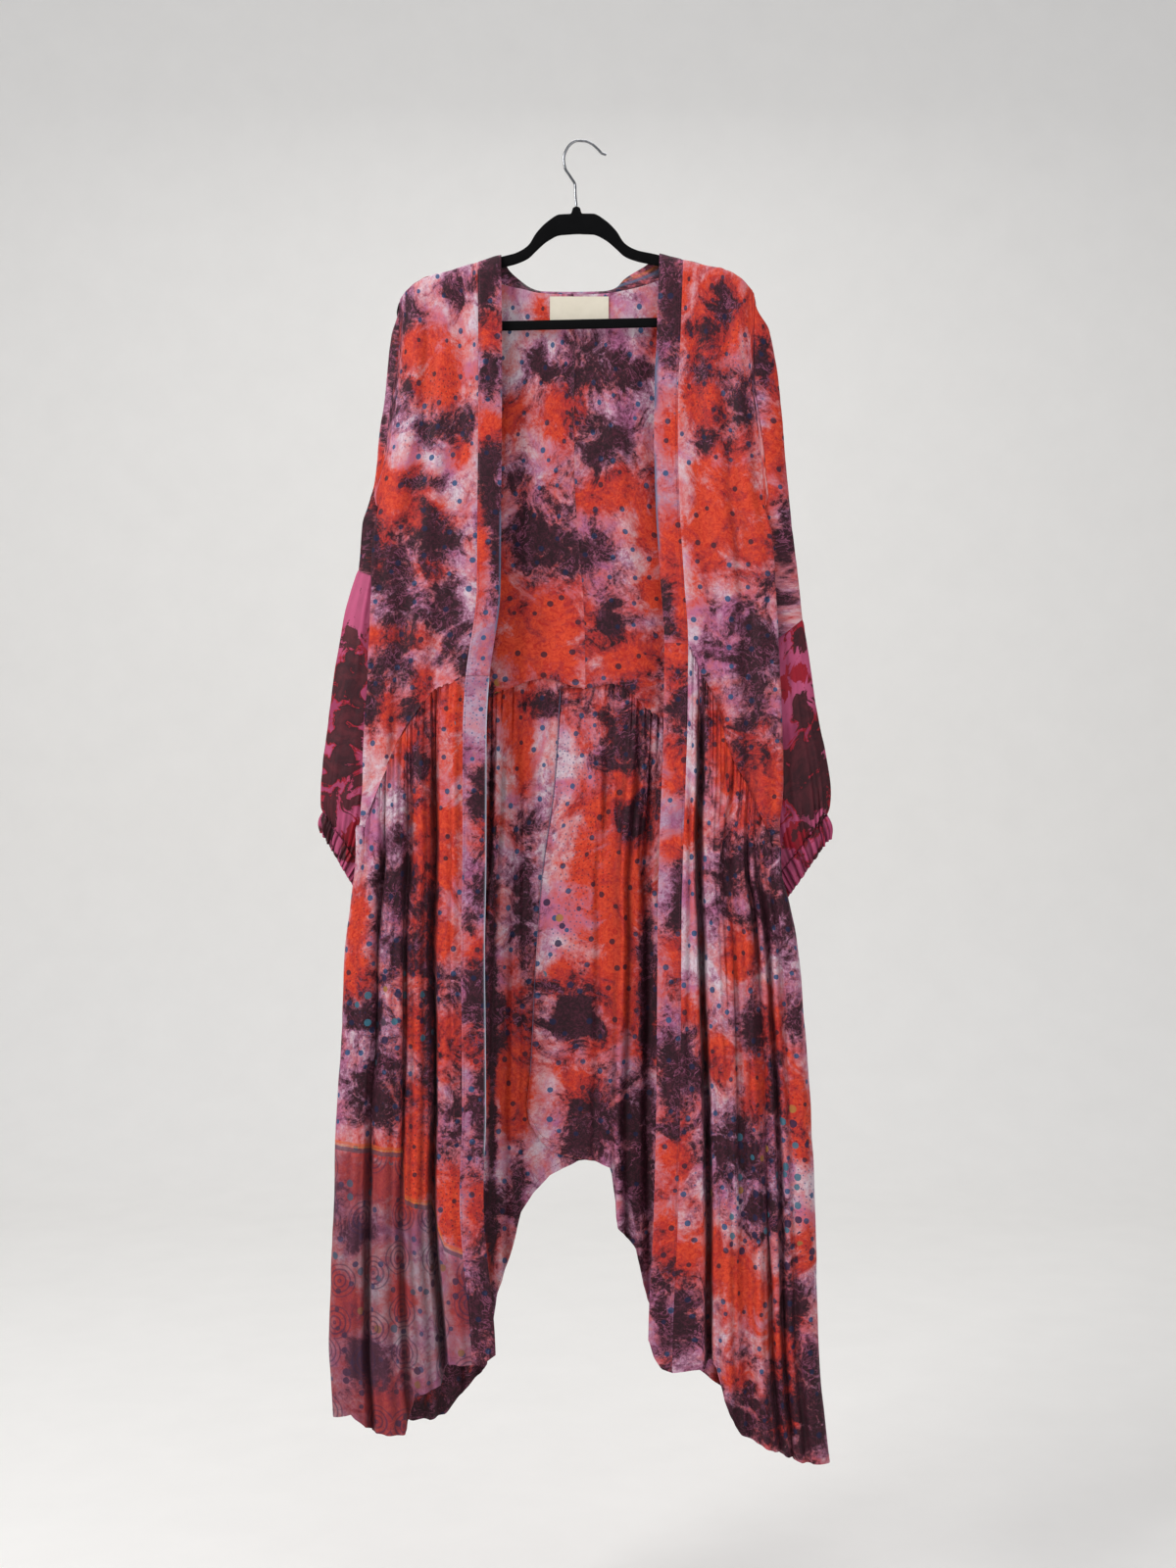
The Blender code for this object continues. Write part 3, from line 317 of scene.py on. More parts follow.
# Sleeves
SLEEVE_SILHOUETTE_LEFT = [
    # drop, out
    (196, 217.6), (216, 222), (244, 226), (316, 233), (344, 238), (410, 243.5), (438, 251.5),
    (460, 258.6), (514, 264), (540, 270),
]
SLEEVE_SILHOUETTE_RIGHT = [
    # drop, out
    (186, 219), (213, 226.5), (242, 233.6), (298, 242), (344, 246), (390, 250), (480, 259),
    (559, 268.5), (640, 277),
]
# The two ends of the sleeve's cloth leave the armhole and close to a tube behind the side fold
UNDERARM = [
    # drop, share closed, out of the ends on the left, out of the ends on the right
    (429, 0, 244, 228),
    (440, 0.1, 240, 224.5),
    (452, 0.3, 234, 219),
    (470, 0.55, 222, 210),
    (490, 0.77, 214, 205),
    (510, 0.91, 210, 203),
    (540, 1, 208.4, 201.5),
    (640, 1, 208.4, 201.5),
]
UNDERARM_DROP = 429.0
ARMHOLE_DEPTH = 0.65
SLEEVE_DEPTH = 9.0
LOWER_SLEEVE_LEFT = [
    # outer out, outer drop, inner out, inner drop, half depth
    (264.8, 517.1, 208.4, 536.8, 9),
    (277, 559, 210, 575, 11),
    (292.5, 637.6, 211, 650, 12),
    (304, 729, 217, 735, 13),
    (309.6, 779, 230, 802, 12.5),
    (308, 796, 243, 848, 10.5),
    (304, 804.7, 255, 878, 7),
]
LOWER_SLEEVE_RIGHT = [
    # outer out, outer drop, inner out, inner drop, half depth
    (270.4, 575.2, 201.5, 626.9, 9),
    (276, 612, 202, 660, 11),
    (285, 680, 204, 718, 12),
    (297, 740, 209, 776, 12.5),
    (301.5, 780, 217, 826, 12),
    (300, 798, 227, 864, 10),
    (296.6, 807.7, 237, 884, 6.5),
]
CUFF_LEFT = [
    # outer out, outer drop, inner out, inner drop, half depth
    (304.2, 805.9, 255.8, 879, 6.8),
    (306, 817, 262.5, 886.5, 7),
    (306.5, 830, 269.5, 895, 7.6),
]
CUFF_RIGHT = [
    # outer out, outer drop, inner out, inner drop, half depth
    (297, 808.8, 237.8, 885, 6.3),
    (300, 821, 245, 896.5, 6.6),
    (301.5, 836, 252, 907.5, 7.4),
]
SLEEVE_SEAM_LEFT = (516.0, 0.35)
SLEEVE_SEAM_RIGHT = (574.0, 0.75)

# Back neck band: x of its seam, its crest and its free edge, as x, drop, y. It stands up at the
# sides and flops over to the outside at the middle.
NECK_BAND_ROWS = [
    # seam x, crest, free edge
    (-112.0, (-101.5, 144.0, 6.8), (-90.4, 138.6, 5.6)),
    (-95.0, (-91.0, 156.0, 13.0), (-84.0, 149.6, 13.0)),
    (-68.0, (-66.0, 167.2, 17.5), (-62.0, 167.4, 22.5)),
    (-42.0, (-41.0, 175.6, 18.6), (-40.0, 183.0, 23.6)),
    (-5.0, (-5.0, 176.6, 18.8), (-5.0, 189.0, 23.6)),
    (30.0, (30.0, 175.6, 18.6), (31.0, 185.5, 23.6)),
    (63.0, (61.0, 163.6, 16.2), (57.5, 158.6, 20.5)),
    (97.0, (91.0, 151.5, 12.2), (83.5, 144.0, 12.0)),
    (117.0, (105.5, 139.8, 6.8), (94.2, 134.8, 5.6)),
]

# Label
LABEL_X = (-34.0, 37.0)
LABEL_DROP = (183.0, 214.0)
LABEL_CELLS = (49, 23)

# Hook wire, as x, drop along its middle
HOOK_ROUTE = [
    (-2, 76.7), (-3.2, 64), (-3.6, 52), (-9, 42), (-15.6, 31), (-17.2, 20), (-13.6, 8.6),
    (-7.2, 1.2), (0, -1.6), (8.6, -1), (16.8, 2.6), (23.6, 8.4), (28.6, 13.4), (34, 15.4),
]

# First guesses of the drop at which a panel's top edge lies, and of its length
FIRST_TOP = 150.0
FIRST_WAIST = 700.0
FIRST_LENGTH = 400.0

# How finely each piece is divided
BODICE_CELLS = 72
FRONT_SKIRT_CELLS = 120
BACK_SKIRT_CELLS = 150
FOLD_CELLS = 12
RETURN_CELLS = 10
UPPER_ROWS = 62
WAIST_ROWS = 54
SKIRT_ROWS = 120
SLEEVE_CELLS = 60
SLEEVE_ROWS = 30
LOWER_SLEEVE_CELLS = 144
LOWER_SLEEVE_ROWS = 84
CUFF_ROWS = 18
BAND_CELLS = 14
NECK_BAND_CELLS = 130
NECK_BAND_WIDTHS = 9
HOOK_POINTS = 130

HANGER_CELLS = 190

# The row of the bodice at which the sleeve starts, and the length over which it fills out
SLEEVE_START = 6
SLEEVE_HEAD = 40.0

# Stitches, and how far their rows lie from the hem, the vent's edge and the band's free edge
STITCH_SPACING = 3.2
STITCH_LENGTH = 2.2
STITCH_WIDTH = 0.35
HEM_STITCHES = HEM_WIDTH - 1
EDGE_STITCHES = 5.0
BAND_STITCHES = 26.0

# A pixel of the 1200 x 1600 reference at the coat, and the pixels of the hook's inner top
PIXEL = 1.17
MIDDLE_PX = 590.0
HOOK_PX = 140.0
PATCH_SPREAD = 1.12

# Each piece is cut from its own stretch of the dyed cloth, this far along from the last one
CLOTH_START = 0.73
# The row of a piece on which distances across it are measured, as a share of its length
STEADY_ROW = 0.6

# Painted shade darkens the cloth in its folds: how deep a fold is, and how near its crests are
FOLD_SHADE_DEPTH = 9.0
FOLD_SHADE_REACH = 10.0
TUBE_SHADE_DEPTH = 4.0
FOLD_PAINTED_SHADE = 0.66
GRAIN_HEIGHT = 0.0011

# At the waist seam the bodice stands out over the skirt, which lies in shadow just below it
SEAM_STEP = 1.5
SEAM_SHADOW = 0.85
SEAM_SHADOW_REACH = 2.6

# The lower sleeve's top edge goes in and up, inside the upper sleeve
TUCK_DEPTH = 1.4
TUCK_RISE = 1.8

# The cuff's round section and its puckers, which its lower edge follows
CUFF_ROLL = 3.2
CUFF_PUCKER = 3.6
CUFF_EDGE_WAVE = 0.4

# The border's distance from its line is kept from this far above to this far below, in pixels
LINE_ABOVE = 20.0
LINE_BELOW = 60.0
STRIPE_EDGE = 0.8
STRIPE_STRENGTH = 0.72
DUSK_STRENGTH = 0.55
RING_STRENGTH = 0.6

# The edges of each dye's patches, and how far the coral's pattern lies from the plum's
PLUM_BLOOM = {"Scale": 24.0, "Feather": 2.3, "Fringe": 1.1}
CORAL_BLOOM = {"Scale": 17.0, "Feather": 2.0, "Fringe": 0.7}
CORAL_APART = (3.1, 1.7, 0.0)

# The printed dots all over, in metres, and the zones of smaller and of larger ones
DOTS = {"Spacing": 0.031, "Radius": 0.0032, "Density": 0.94}
DOT_STRENGTH = 0.92
DOT_ZONES = [
    # zone, spacing, radius, fullness, strength
    ("specks", 0.0072, 0.0010, 1.4, 0.7),
    ("discs", 0.017, 0.0042, 0.62, 0.9),
]
# A disc's kind, from 0 to 1, at which teal turns to navy and navy to ochre
DISC_STEPS = ((0.30, 0.32), (0.86, 0.88))

# Threads woven into the bands, from the first laid to the last
WOVEN = ("slate", "pale_line", "gold")

COLOURS = {
    # The crepe's ground, its dyes from pale to dark, their veins, and the painted shade of its folds
    "pale": (206, 188, 196),
    "pink": (180, 104, 142),
    "band_pale": (172, 146, 166),
    "band_pink": (138, 74, 106),
    "mauve_vein": (158, 84, 122),
    "halo_pale": (178, 108, 146),
    "halo_deep": (128, 56, 92),
    "coral_flush": (204, 96, 88),
    "coral_bright": (216, 74, 42),
    "coral_deep": (176, 30, 22),
    "rim": (138, 28, 46),
    "plum_soft": (82, 30, 48),
    "plum_deep": (38, 12, 22),
    "plum_vein": (158, 84, 116),
    # Painted shade: the dark red that the colour turns to where the cloth lies deep in a fold
    "fold": (38, 8, 16),
    # The prints and the woven lines
    "blue_dot": (40, 78, 116),
    "maroon_dot": (70, 28, 40),
    "navy_dot": (26, 26, 56),
    "teal_disc": (52, 104, 122),
    "navy_disc": (30, 30, 62),
    "ochre_disc": (160, 112, 56),
    "dusk": (84, 46, 64),
    "ring": (54, 34, 62),
    "slate": (84, 96, 122),
    "pale_line": (186, 198, 214),
    "gold": (206, 116, 44),
    # The sleeves
    "orchid_bright": (182, 78, 116),
    "orchid_deep": (146, 50, 86),
    "crimson": (150, 18, 38),
    "maroon_soft": (84, 26, 36),
    "maroon_deep": (50, 14, 24),
    # The label, the hanger, the threads and the backdrop
    "label_worn": (208, 199, 180),
    "label_clean": (226, 217, 199),
    "pile": (5, 5, 6),
    "pile_rubbed": (14, 14, 15),
    "wire_bright": (150, 151, 154),
    "wire_worn": (112, 113, 116),
    "plum_thread": (92, 44, 62),
    "cream_thread": (214, 206, 186),
    "pale_paint": (242, 240, 236),
}

# The stripes of the border, in pixels of the reference below its line
BORDER_STRIPES = [
    # top, bottom, colour
    (0.0, 3.6, (198, 92, 46)),
    (3.4, 5.4, (176, 128, 66)),
    (5.2, 10.5, (74, 66, 78)),
]

# Studio, in metres
LENS = 42.0
CAMERA_PLACE = (0.012, -2.2, -0.772)
FLOOR = -1.9
WALL_Y = 3.6
LIGHTS = [
    # name, place, size, power
    ("key", (-2.4, -2.0, 1.1), 1.3, 82.0),
    ("fill", (1.6, -3.2, -0.4), 2.4, 22.0),
    ("behind", (0.0, 1.9, 2.4), 1.6, 34.0),
    ("above", (0.3, -0.7, 2.0), 1.6, 20.0),
]
LIGHT_AIM = (0.0, 0.0, -0.8)
SURROUND_COLOUR = (0.92, 0.94, 1.0, 1.0)
SURROUND_STRENGTH = 0.42

# Socket kinds of the node groups
NUMBER = "NodeSocketFloat"
VECTOR = "NodeSocketVector"

# Patches of dye, as boxes in pixels of the reference: left, top, right, bottom. A few narrow plum boxes are
# painted shade.
PLUM_LEFT = [
    (446, 279, 480, 310), (405, 303, 427, 342), (410, 385, 427, 405), (420, 427, 461, 453),
    (463, 419, 483, 448), (412, 485, 446, 502), (410, 528, 480, 579), (381, 579, 427, 641),
    (437, 608, 473, 651), (394, 664, 427, 702), (463, 656, 493, 689), (371, 697, 389, 738),
    (407, 707, 432, 738), (417, 753, 440, 804), (386, 860, 432, 932), (388, 946, 426, 990),
    (349, 1016, 408, 1052), (352, 1066, 412, 1148), (452, 1083, 486, 1178), (450, 998, 483, 1024),
    # The first box on this line is painted shade along the deep fold of the left front
    (436, 940, 446, 1120), (349, 1362, 402, 1412), (352, 1240, 380, 1270), (395, 332, 405, 410),
    (387, 414, 395, 453), (366, 507, 382, 579), (478, 870, 494, 980), (474, 1290, 492, 1330),
]
CORAL_LEFT = [
    (405, 337, 456, 376), (434, 366, 480, 419), (463, 446, 480, 473), (390, 482, 427, 507),
    (386, 502, 451, 545), (382, 553, 407, 579), (427, 574, 456, 591), (376, 641, 437, 661),
    (424, 679, 442, 722), (381, 697, 407, 753), (412, 743, 440, 779), (442, 702, 470, 763),
    (470, 751, 493, 809), (440, 819, 473, 850), (442, 865, 473, 906), (354, 919, 378, 970),
    (413, 1019, 438, 1075), (410, 1121, 440, 1204), (448, 1032, 489, 1085), (453, 1178, 486, 1255),
    (346, 1172, 416, 1220), (464, 1300, 489, 1350), (338, 1290, 371, 1350), (371, 1411, 419, 1462),
    (385, 456, 393, 497), (348, 985, 372, 1012), (424, 800, 440, 940), (400, 1300, 426, 1345),
    (486, 280, 500, 300), (430, 935, 470, 985),
]
PLUM_RIGHT = [
    (725, 284, 754, 332), (704, 322, 725, 347), (701, 364, 730, 390), (737, 390, 774, 439),
    (711, 439, 735, 463), (743, 600, 797, 750), (720, 875, 759, 932), (759, 842, 795, 957),
    (669, 1048, 717, 1140), (720, 1137, 784, 1204), (759, 1204, 790, 1255), (669, 1297, 720, 1392),
    (736, 1402, 810, 1478), (810, 1395, 845, 1488), (797, 1293, 822, 1357), (784, 1077, 797, 1134),
    (755, 1032, 778, 1073), (797, 1013, 819, 1057), (771, 347, 791, 395), (793, 514, 813, 584),
    # The first box on this line is painted shade along the deep fold of the right front
    (714, 690, 724, 780), (798, 880, 812, 960),
]
CORAL_RIGHT = [
    (696, 262, 769, 368), (704, 390, 735, 434), (704, 468, 781, 531), (706, 519, 735, 599),
    (759, 531, 786, 589), (746, 750, 797, 842), (769, 300, 786, 352), (784, 371, 800, 410),
    (786, 432, 802, 485), (720, 715, 738, 758), (733, 773, 759, 804), (738, 952, 764, 1000),
    (672, 1010, 711, 1045), (671, 1147, 701, 1204), (719, 1060, 749, 1105), (759, 1089, 784, 1131),
    (775, 1019, 797, 1077), (800, 1080, 822, 1128), (810, 1137, 826, 1179), (672, 1249, 720, 1297),
    (727, 1268, 784, 1338), (810, 1249, 832, 1287), (739, 1383, 765, 1408), (787, 1357, 810, 1415),
    (778, 1415, 810, 1453), (676, 820, 712, 860),
]
PLUM_BACK = [
    (541, 344, 563, 385), (572, 335, 614, 410), (619, 354, 662, 388), (590, 424, 648, 477),
    (517, 470, 541, 497), (512, 511, 563, 579), (563, 538, 619, 594), (600, 608, 644, 643),
    (539, 702, 575, 733), (524, 825, 555, 858), (606, 702, 669, 779), (631, 822, 664, 853),
    (520, 1185, 535, 1265), (550, 1016, 600, 1073), (572, 1137, 612, 1190), (580, 1016, 612, 1070),
    (580, 1134, 625, 1191), (634, 1112, 666, 1191), (641, 1191, 668, 1271), (518, 880, 545, 990),
    # The two narrow boxes at 497 to 504 and the one on the next line are painted shadow: dark plum where
    # the back skirt lies in shadow beside the bands
    (422, 1389, 489, 1462), (612, 1270, 640, 1320), (497, 700, 504, 1000), (497, 1000, 504, 1330),
    (655, 920, 669, 1110),
]
CORAL_BACK = [
    (543, 298, 561, 322), (512, 405, 531, 434), (555, 390, 595, 441), (590, 477, 670, 514),
    (650, 521, 675, 555), (509, 587, 598, 702), (626, 643, 672, 702), (525, 728, 541, 812),
    (580, 817, 611, 919), (613, 791, 664, 888), (615, 855, 655, 1000), (511, 1000, 540, 1121),
    (569, 1080, 612, 1140), (612, 1000, 663, 1057), (555, 985, 585, 1020), (371, 1411, 419, 1462),
    (514, 1125, 536, 1175),
]
BAND_PLUM = [
    (482, 258, 512, 310), (490, 360, 512, 393), (488, 458, 512, 495), (498, 507, 514, 594),
    # These boxes on the left skirt band are partly its plum dye and partly painted shade, where the band
    # turns inward
    (478, 785, 505, 845), (484, 880, 516, 950), (478, 1000, 505, 1045), (482, 1090, 512, 1180),
    (478, 1275, 512, 1390),
    (666, 257, 710, 355), (670, 596, 690, 640), (682, 694, 712, 748), (682, 886, 715, 952),
    (668, 1048, 700, 1140), (666, 1300, 690, 1392), (560, 255, 640, 285), (520, 262, 545, 290),
]
BAND_CORAL = [
    (488, 315, 509, 345), (492, 427, 509, 456), (482, 507, 497, 594), (488, 800, 510, 860),
    (676, 420, 705, 470), (674, 531, 702, 589), (690, 590, 706, 655), (675, 657, 706, 694),
    (680, 753, 710, 799), (680, 855, 715, 880), (680, 952, 715, 1010), (668, 1147, 700, 1210),
    (668, 1240, 700, 1297), (478, 955, 500, 990), (476, 1050, 496, 1085), (478, 1200, 500, 1250),
]
MAROON = [
    (339, 655, 371, 716), (330, 739, 366, 808), (326, 831, 340, 858), (352, 700, 368, 740),
    (806, 776, 848, 834), (794, 776, 821, 812), (812, 707, 824, 739), (826, 725, 844, 770),
    (810, 640, 822, 660), (322, 868, 350, 880), (830, 870, 846, 884),
]
CRIMSON = [
    (346, 838, 372, 880), (356, 668, 364, 690), (808, 598, 828, 650), (808, 679, 826, 698),
    (792, 690, 806, 712), (802, 834, 826, 870), (338, 720, 346, 742),
]
SPECK_ZONES = [
    (378, 934, 434, 1060), (412, 1120, 442, 1200), (450, 1178, 488, 1255), (468, 692, 495, 743),
    (578, 817, 612, 919), (565, 927, 587, 983), (570, 753, 608, 817), (742, 1150, 832, 1250),
    (425, 395, 475, 450), (700, 340, 760, 420),
]
DISC_ZONES = [
    (466, 690, 497, 760), (360, 1000, 420, 1060), (752, 1165, 835, 1262), (560, 925, 590, 990),
]
# The printed line above the hem of the left front
BORDER_LINE = [
    # px, py
    (345, 1160), (412, 1168), (415, 1215), (440, 1222), (455, 1262), (490, 1278),
]
# Stretches of the bands whose free edge shows a woven line
BAND_EDGES = (
    # top and bottom as drops, tint, width
    [(295.0, 317.0, "slate", 3.4), (440.0, 600.0, "slate", 3.0), (640.0, 1215.0, "pale_line", 1.7)],
    [(250.0, 330.0, "slate", 6.0), (372.0, 500.0, "slate", 4.0)],
)
# Top and bottom of the woven line on the free edge of the right back skirt
BACK_EDGE = (655.0, 1130.0)

# Where patches of dye are strewn on cloth that the reference doesn't show: round the side folds,
# and on the back beside what shows through the open front
UNSEEN_LEFT = (240, 330, 380, 1480)
UNSEEN_RIGHT = (850, 940, 380, 1480)
BACK_UNSEEN = ((300, 505, 250, 1500), (680, 880, 250, 1500))
SIDE_PATCHES = 22
BACK_PATCHES = 60

# Listed creases: x and drop of the start and of the end, half the width, height
CREASES_LEFT = [
    (-212, 840, -214, 1330, 5.5, 4.2),
    (-171, 770, -176, 1260, 5, 4.4),
    (-152, 690, -153, 1330, 4.5, -4),
    (-240, 880, -246, 1260, 6, 3.4),
    (-132, 700, -134, 1180, 3.5, 1.8),
]
CREASES_RIGHT = [
    (184, 730, 158, 900, 5, 4.4),
    (178, 880, 188, 1370, 5.5, 4),
    (210, 930, 238, 1440, 5.5, 4.2),
    (134, 690, 129, 1250, 4.5, -3.6),
    (112, 900, 116, 1330, 5, 1.8),
    (248, 1010, 262, 1420, 5, 1.8),
]
CREASES_BACK = [
    (26, 670, 30, 1120, 4, -2.2),
    (48, 690, 52, 1150, 4.5, 2),
    (70, 700, 76, 1200, 4, -2),
    (-70, 680, -72, 1250, 4, 2),
    (-50, 680, -50, 1150, 3.5, -1.8),
    (-180, 760, -196, 1300, 6, 2.2),
    (-120, 740, -124, 1300, 5, -2),
    (140, 760, 152, 1300, 5, 2.2),
    (190, 800, 214, 1400, 6, -2),
]


def of_side(side, left, right):
    return left if side < 0 else right


def column(rows, number, at):
    """A column of a table read at the places `at` of its first column, on a smooth curve that
    never goes past the values of the rows beside it."""
    xs = np.array([row[0] for row in rows], float)
    ys = np.array([row[number] for row in rows], float)
    at = np.clip(np.asarray(at, float), xs[0], xs[-1])
    steps = np.diff(xs)
    slopes = np.diff(ys) / steps
    tangents = np.zeros(len(xs))
    for i in range(1, len(xs) - 1):
        before, after = slopes[i - 1], slopes[i]
        if before * after > 0:
            tangents[i] = 2 * before * after / (before + after)
    tangents[0], tangents[-1] = slopes[0], slopes[-1]
    i = np.clip(np.searchsorted(xs, at, side="right") - 1, 0, len(xs) - 2)
    t = (at - xs[i]) / steps[i]
    return (
        (2 * t**3 - 3 * t**2 + 1) * ys[i]
        + (t**3 - 2 * t**2 + t) * steps[i] * tangents[i]
        + (3 * t**2 - 2 * t**3) * ys[i + 1]
        + (t**3 - t**2) * steps[i] * tangents[i + 1]
    )


def straight(rows, number, at):
    """A column of a table, read on straight lines between its rows."""
    return np.interp(at, [row[0] for row in rows], [row[number] for row in rows])


def shoulder_drop(x):
    """Where the cloth lies on the arm of the hanger, which hangs a little higher on the right."""
    out = np.abs(np.asarray(x, float) - HANGER_X)
    tilt = HANGER_TILT * (np.asarray(x, float) - HANGER_X)
    upper_edge = ARM_ROWS + [row[:2] for row in TIP_ROWS[:2]]
    return column(upper_edge, 1, out) - tilt - CLOTH_ON_ARM


def bump(s):
    """A smooth hump, 1 in the middle and 0 from one half width on."""
    return np.clip(1 - np.asarray(s, float) ** 2, 0, None) ** 2


def ease(s):
    s = np.clip(np.asarray(s, float), 0, 1)
    return s * s * (3 - 2 * s)


class Body:
    """One side of the front or of the back. A place on it is (t, drop): t runs from 0 at the
    inner seam to 1 at the outer edge, to 2 round the side fold, to 3 at the side seam."""

    def __init__(self, side, inwards, edge, seam, face, fold, inner):
        self.side = side
        self.inwards = inwards
        self.edge, self.seam, self.face, self.fold, self.inner = edge, seam, face, fold, inner

    def outline(self, t, drop):
        """out and y of the plain cloth, before its folds."""
        inner, edge = self.inner(drop), self.edge(drop)
        face, fold, seam = self.face(drop), self.fold(drop), self.seam(drop)
        folded = ease((drop - SIDE_FOLD_DROP) / SIDE_FOLD_LENGTH)
        sign = self.inwards
        across = np.clip(t, 0, 1)
        turn = np.clip(t - 1, 0, 1) * math.pi
        back = np.clip(t - 2, 0, 1) * math.pi / 2
        folded_out = inner + across * (edge - fold - inner)
        folded_y = face + 0 * t
        folded_out = np.where(t > 1, edge - fold + fold * np.sin(turn), folded_out)
        folded_y = np.where(t > 1, face + sign * fold * (1 - np.cos(turn)), folded_y)
        deep = face + sign * 2 * fold
        folded_out = np.where(t > 2, edge - fold + (seam - edge + fold) * np.sin(back), folded_out)
        folded_y = np.where(t > 2, deep * np.cos(back), folded_y)
        reach = np.where(t <= 1, ARMHOLE_SHARE * t, ARMHOLE_SHARE + ARMHOLE_STEP * (t - 1))
        flat_out = inner + reach * (edge - inner)
        bend = ease((reach - ARMHOLE_BEND) / ARMHOLE_ROUND)
        flat_y = face * (1 - (1 - ARMHOLE_DEPTH) * bend)
        out = flat_out + folded * (folded_out - flat_out)
        y = flat_y + folded * (folded_y - flat_y)
        return out, y

    def rolled(self, y, drop, top):
        """y near the shoulder, where the cloth rolls over the arm to its top edge."""
        share = np.clip((drop - top) / SHOULDER_ROLL, 0, 1)
        return y * np.sqrt(np.clip(1 - (1 - share) ** 2, 0, 1))


def folds_at(t, drop, folds, top, hem, span):
    """Depth of the large folds at shares t of the panel's width."""
    way = np.clip((drop - top) / np.maximum(hem - top, 1), 0, 1)
    depth = np.zeros(np.broadcast(t, drop).shape)
    for fold_top, fold_hem, half_width, deep in folds:
        place = fold_top + (fold_hem - fold_top) * way
        depth = depth + deep * bump((t - place) * span / half_width)
    return depth


def moved(t, drop, folds, top, hem):
    """Shares of the width at this drop, for vertical lines that follow the folds."""
    way = np.clip((drop - top) / np.maximum(hem - top, 1), 0, 1)
    tops = np.array([0.0] + [row[0] for row in folds] + [1.0])
    hems = np.array([0.0] + [row[1] for row in folds] + [1.0])
    shift = np.interp(t, tops, hems - tops)
    return t + shift * way


def world(side, out, drop, y):
    return np.stack([side * out + 0 * y, y + 0 * out, -drop + 0 * y], axis=-1)


def grid_normals(points, ring=False):
    """Unit normals of a grid of points, first axis across and second axis down."""
    if ring:
        across = np.roll(points, -1, axis=0) - np.roll(points, 1, axis=0)
    else:
        across = np.gradient(points, axis=0)
    down = np.gradient(points, axis=1)
    normals = np.cross(across, down)
    lengths = np.linalg.norm(normals, axis=-1, keepdims=True)
    return normals / np.maximum(lengths, 1e-12)


def lengths_along(points, axis):
    """Distance along the cloth from the grid's first line or row."""
    steps = np.linalg.norm(np.diff(points, axis=axis), axis=-1)
    return np.insert(np.cumsum(steps, axis=axis), 0, 0.0, axis=axis)


class Cloth:
    """A piece of cloth as a grid of points: lines run down it and rows run across. `facing` is 1
    where the grid's own normals point away from the hanger, else -1. `relief` is how far each point
    stands out from the plain form."""

    def __init__(self, points, ring=False, t=None, relief=0.0):
        self.points = points
        self.relief = relief + np.zeros(points.shape[:2])
        self.ring = ring
        self.t = t
        self.normals = grid_normals(points, ring)
        middle = self.normals[points.shape[0] // 4, points.shape[1] // 2]
        away = points[points.shape[0] // 4, points.shape[1] // 2, 1]
        self.facing = 1.0 if middle[1] * away > 0 else -1.0
        measured = points if not ring else np.concatenate([points, points[:1]])
        self.across = lengths_along(measured, 0)
        self.down = lengths_along(points, 1)
        steady = self.across[:, int(points.shape[1] * STEADY_ROW)]
        self.place = steady[: points.shape[0], None]
        self.width = float(steady[-1])
        self.below = self.down
        self.above = self.down[:, -1:] - self.down

    def raised(self, heights):
        """The same cloth with each point moved out along its normal, in millimetres."""
        points = self.points + self.facing * self.normals * heights[..., None]
        made = Cloth(points, self.ring, self.t, self.relief + heights)
        made.facing = self.facing
        return made

    def shaded(self):
        """How deep each point lies in a fold, from 0 to 1, on the grid's two faces, which sets how much
        painted shade it gets.
        """
        reach = max(2, int(FOLD_SHADE_REACH / (self.width / len(self.points))))
        steps = range(-reach, reach + 1)
        count = len(self.points)
        lines = np.arange(count)
        near = [(lines + k) % count if self.ring else np.clip(lines + k, 0, count - 1) for k in steps]
        crest = np.max([self.relief[line] for line in near], axis=0)
        trough = np.min([self.relief[line] for line in near], axis=0)
        full = TUBE_SHADE_DEPTH if self.ring else FOLD_SHADE_DEPTH
        outer, inner = (ease(v / full) for v in (crest - self.relief, self.relief - trough))
        return (outer, inner) if self.facing > 0 else (inner, outer)


def between_seams(cloth, reach=14.0):
    """A mask that fades to nothing at the piece's two long edges."""
    if cloth.ring:
        return 1.0
    return ease(cloth.place / reach) * ease((cloth.width - cloth.place) / reach)


def gathers(cloth, seed, spacing, high, reach, from_below=False):
    """Uneven ridges that run from a gathered seam and fade into the cloth."""
    random = np.random.RandomState(seed)
    away = cloth.above if from_below else cloth.below
    total = np.zeros(cloth.points.shape[:2])
    place = spacing * random.rand()
    last = cloth.width - (0.5 * spacing if cloth.ring else 0.0)
    while place < last:
        half_width = spacing * (0.38 + 0.3 * random.rand())
        fade = reach * (0.35 + 1.9 * random.rand() ** 2.2)
        height = high * (0.45 + 0.9 * random.rand())
        total += height * bump((cloth.place - place) / half_width) * np.exp(-away / fade)
        place += spacing * (0.6 + 0.8 * random.rand())
    return total * between_seams(cloth, 6.0)


def soft_creases(cloth, seed, count, high, half_width, length):
    """Long soft ridges and troughs, uneven in place, depth, width and length. Each leans a little."""
    random = np.random.RandomState(seed)
    total = np.zeros(cloth.points.shape[:2])
    long = float(cloth.down[:, -1].mean())
    for _ in range(count):
        place = cloth.width * random.rand()
        lean = 0.10 * (random.rand() - 0.5)
        middle = long * random.rand()
        reach = length * (0.5 + random.rand())
        width = half_width * (0.6 + 0.9 * random.rand())
        height = high * (random.rand() - 0.42) * 2
        line = place + lean * (cloth.below - middle)
        total += height * bump((cloth.place - line) / width) * bump((cloth.below - middle) / reach)
    return total * between_seams(cloth)


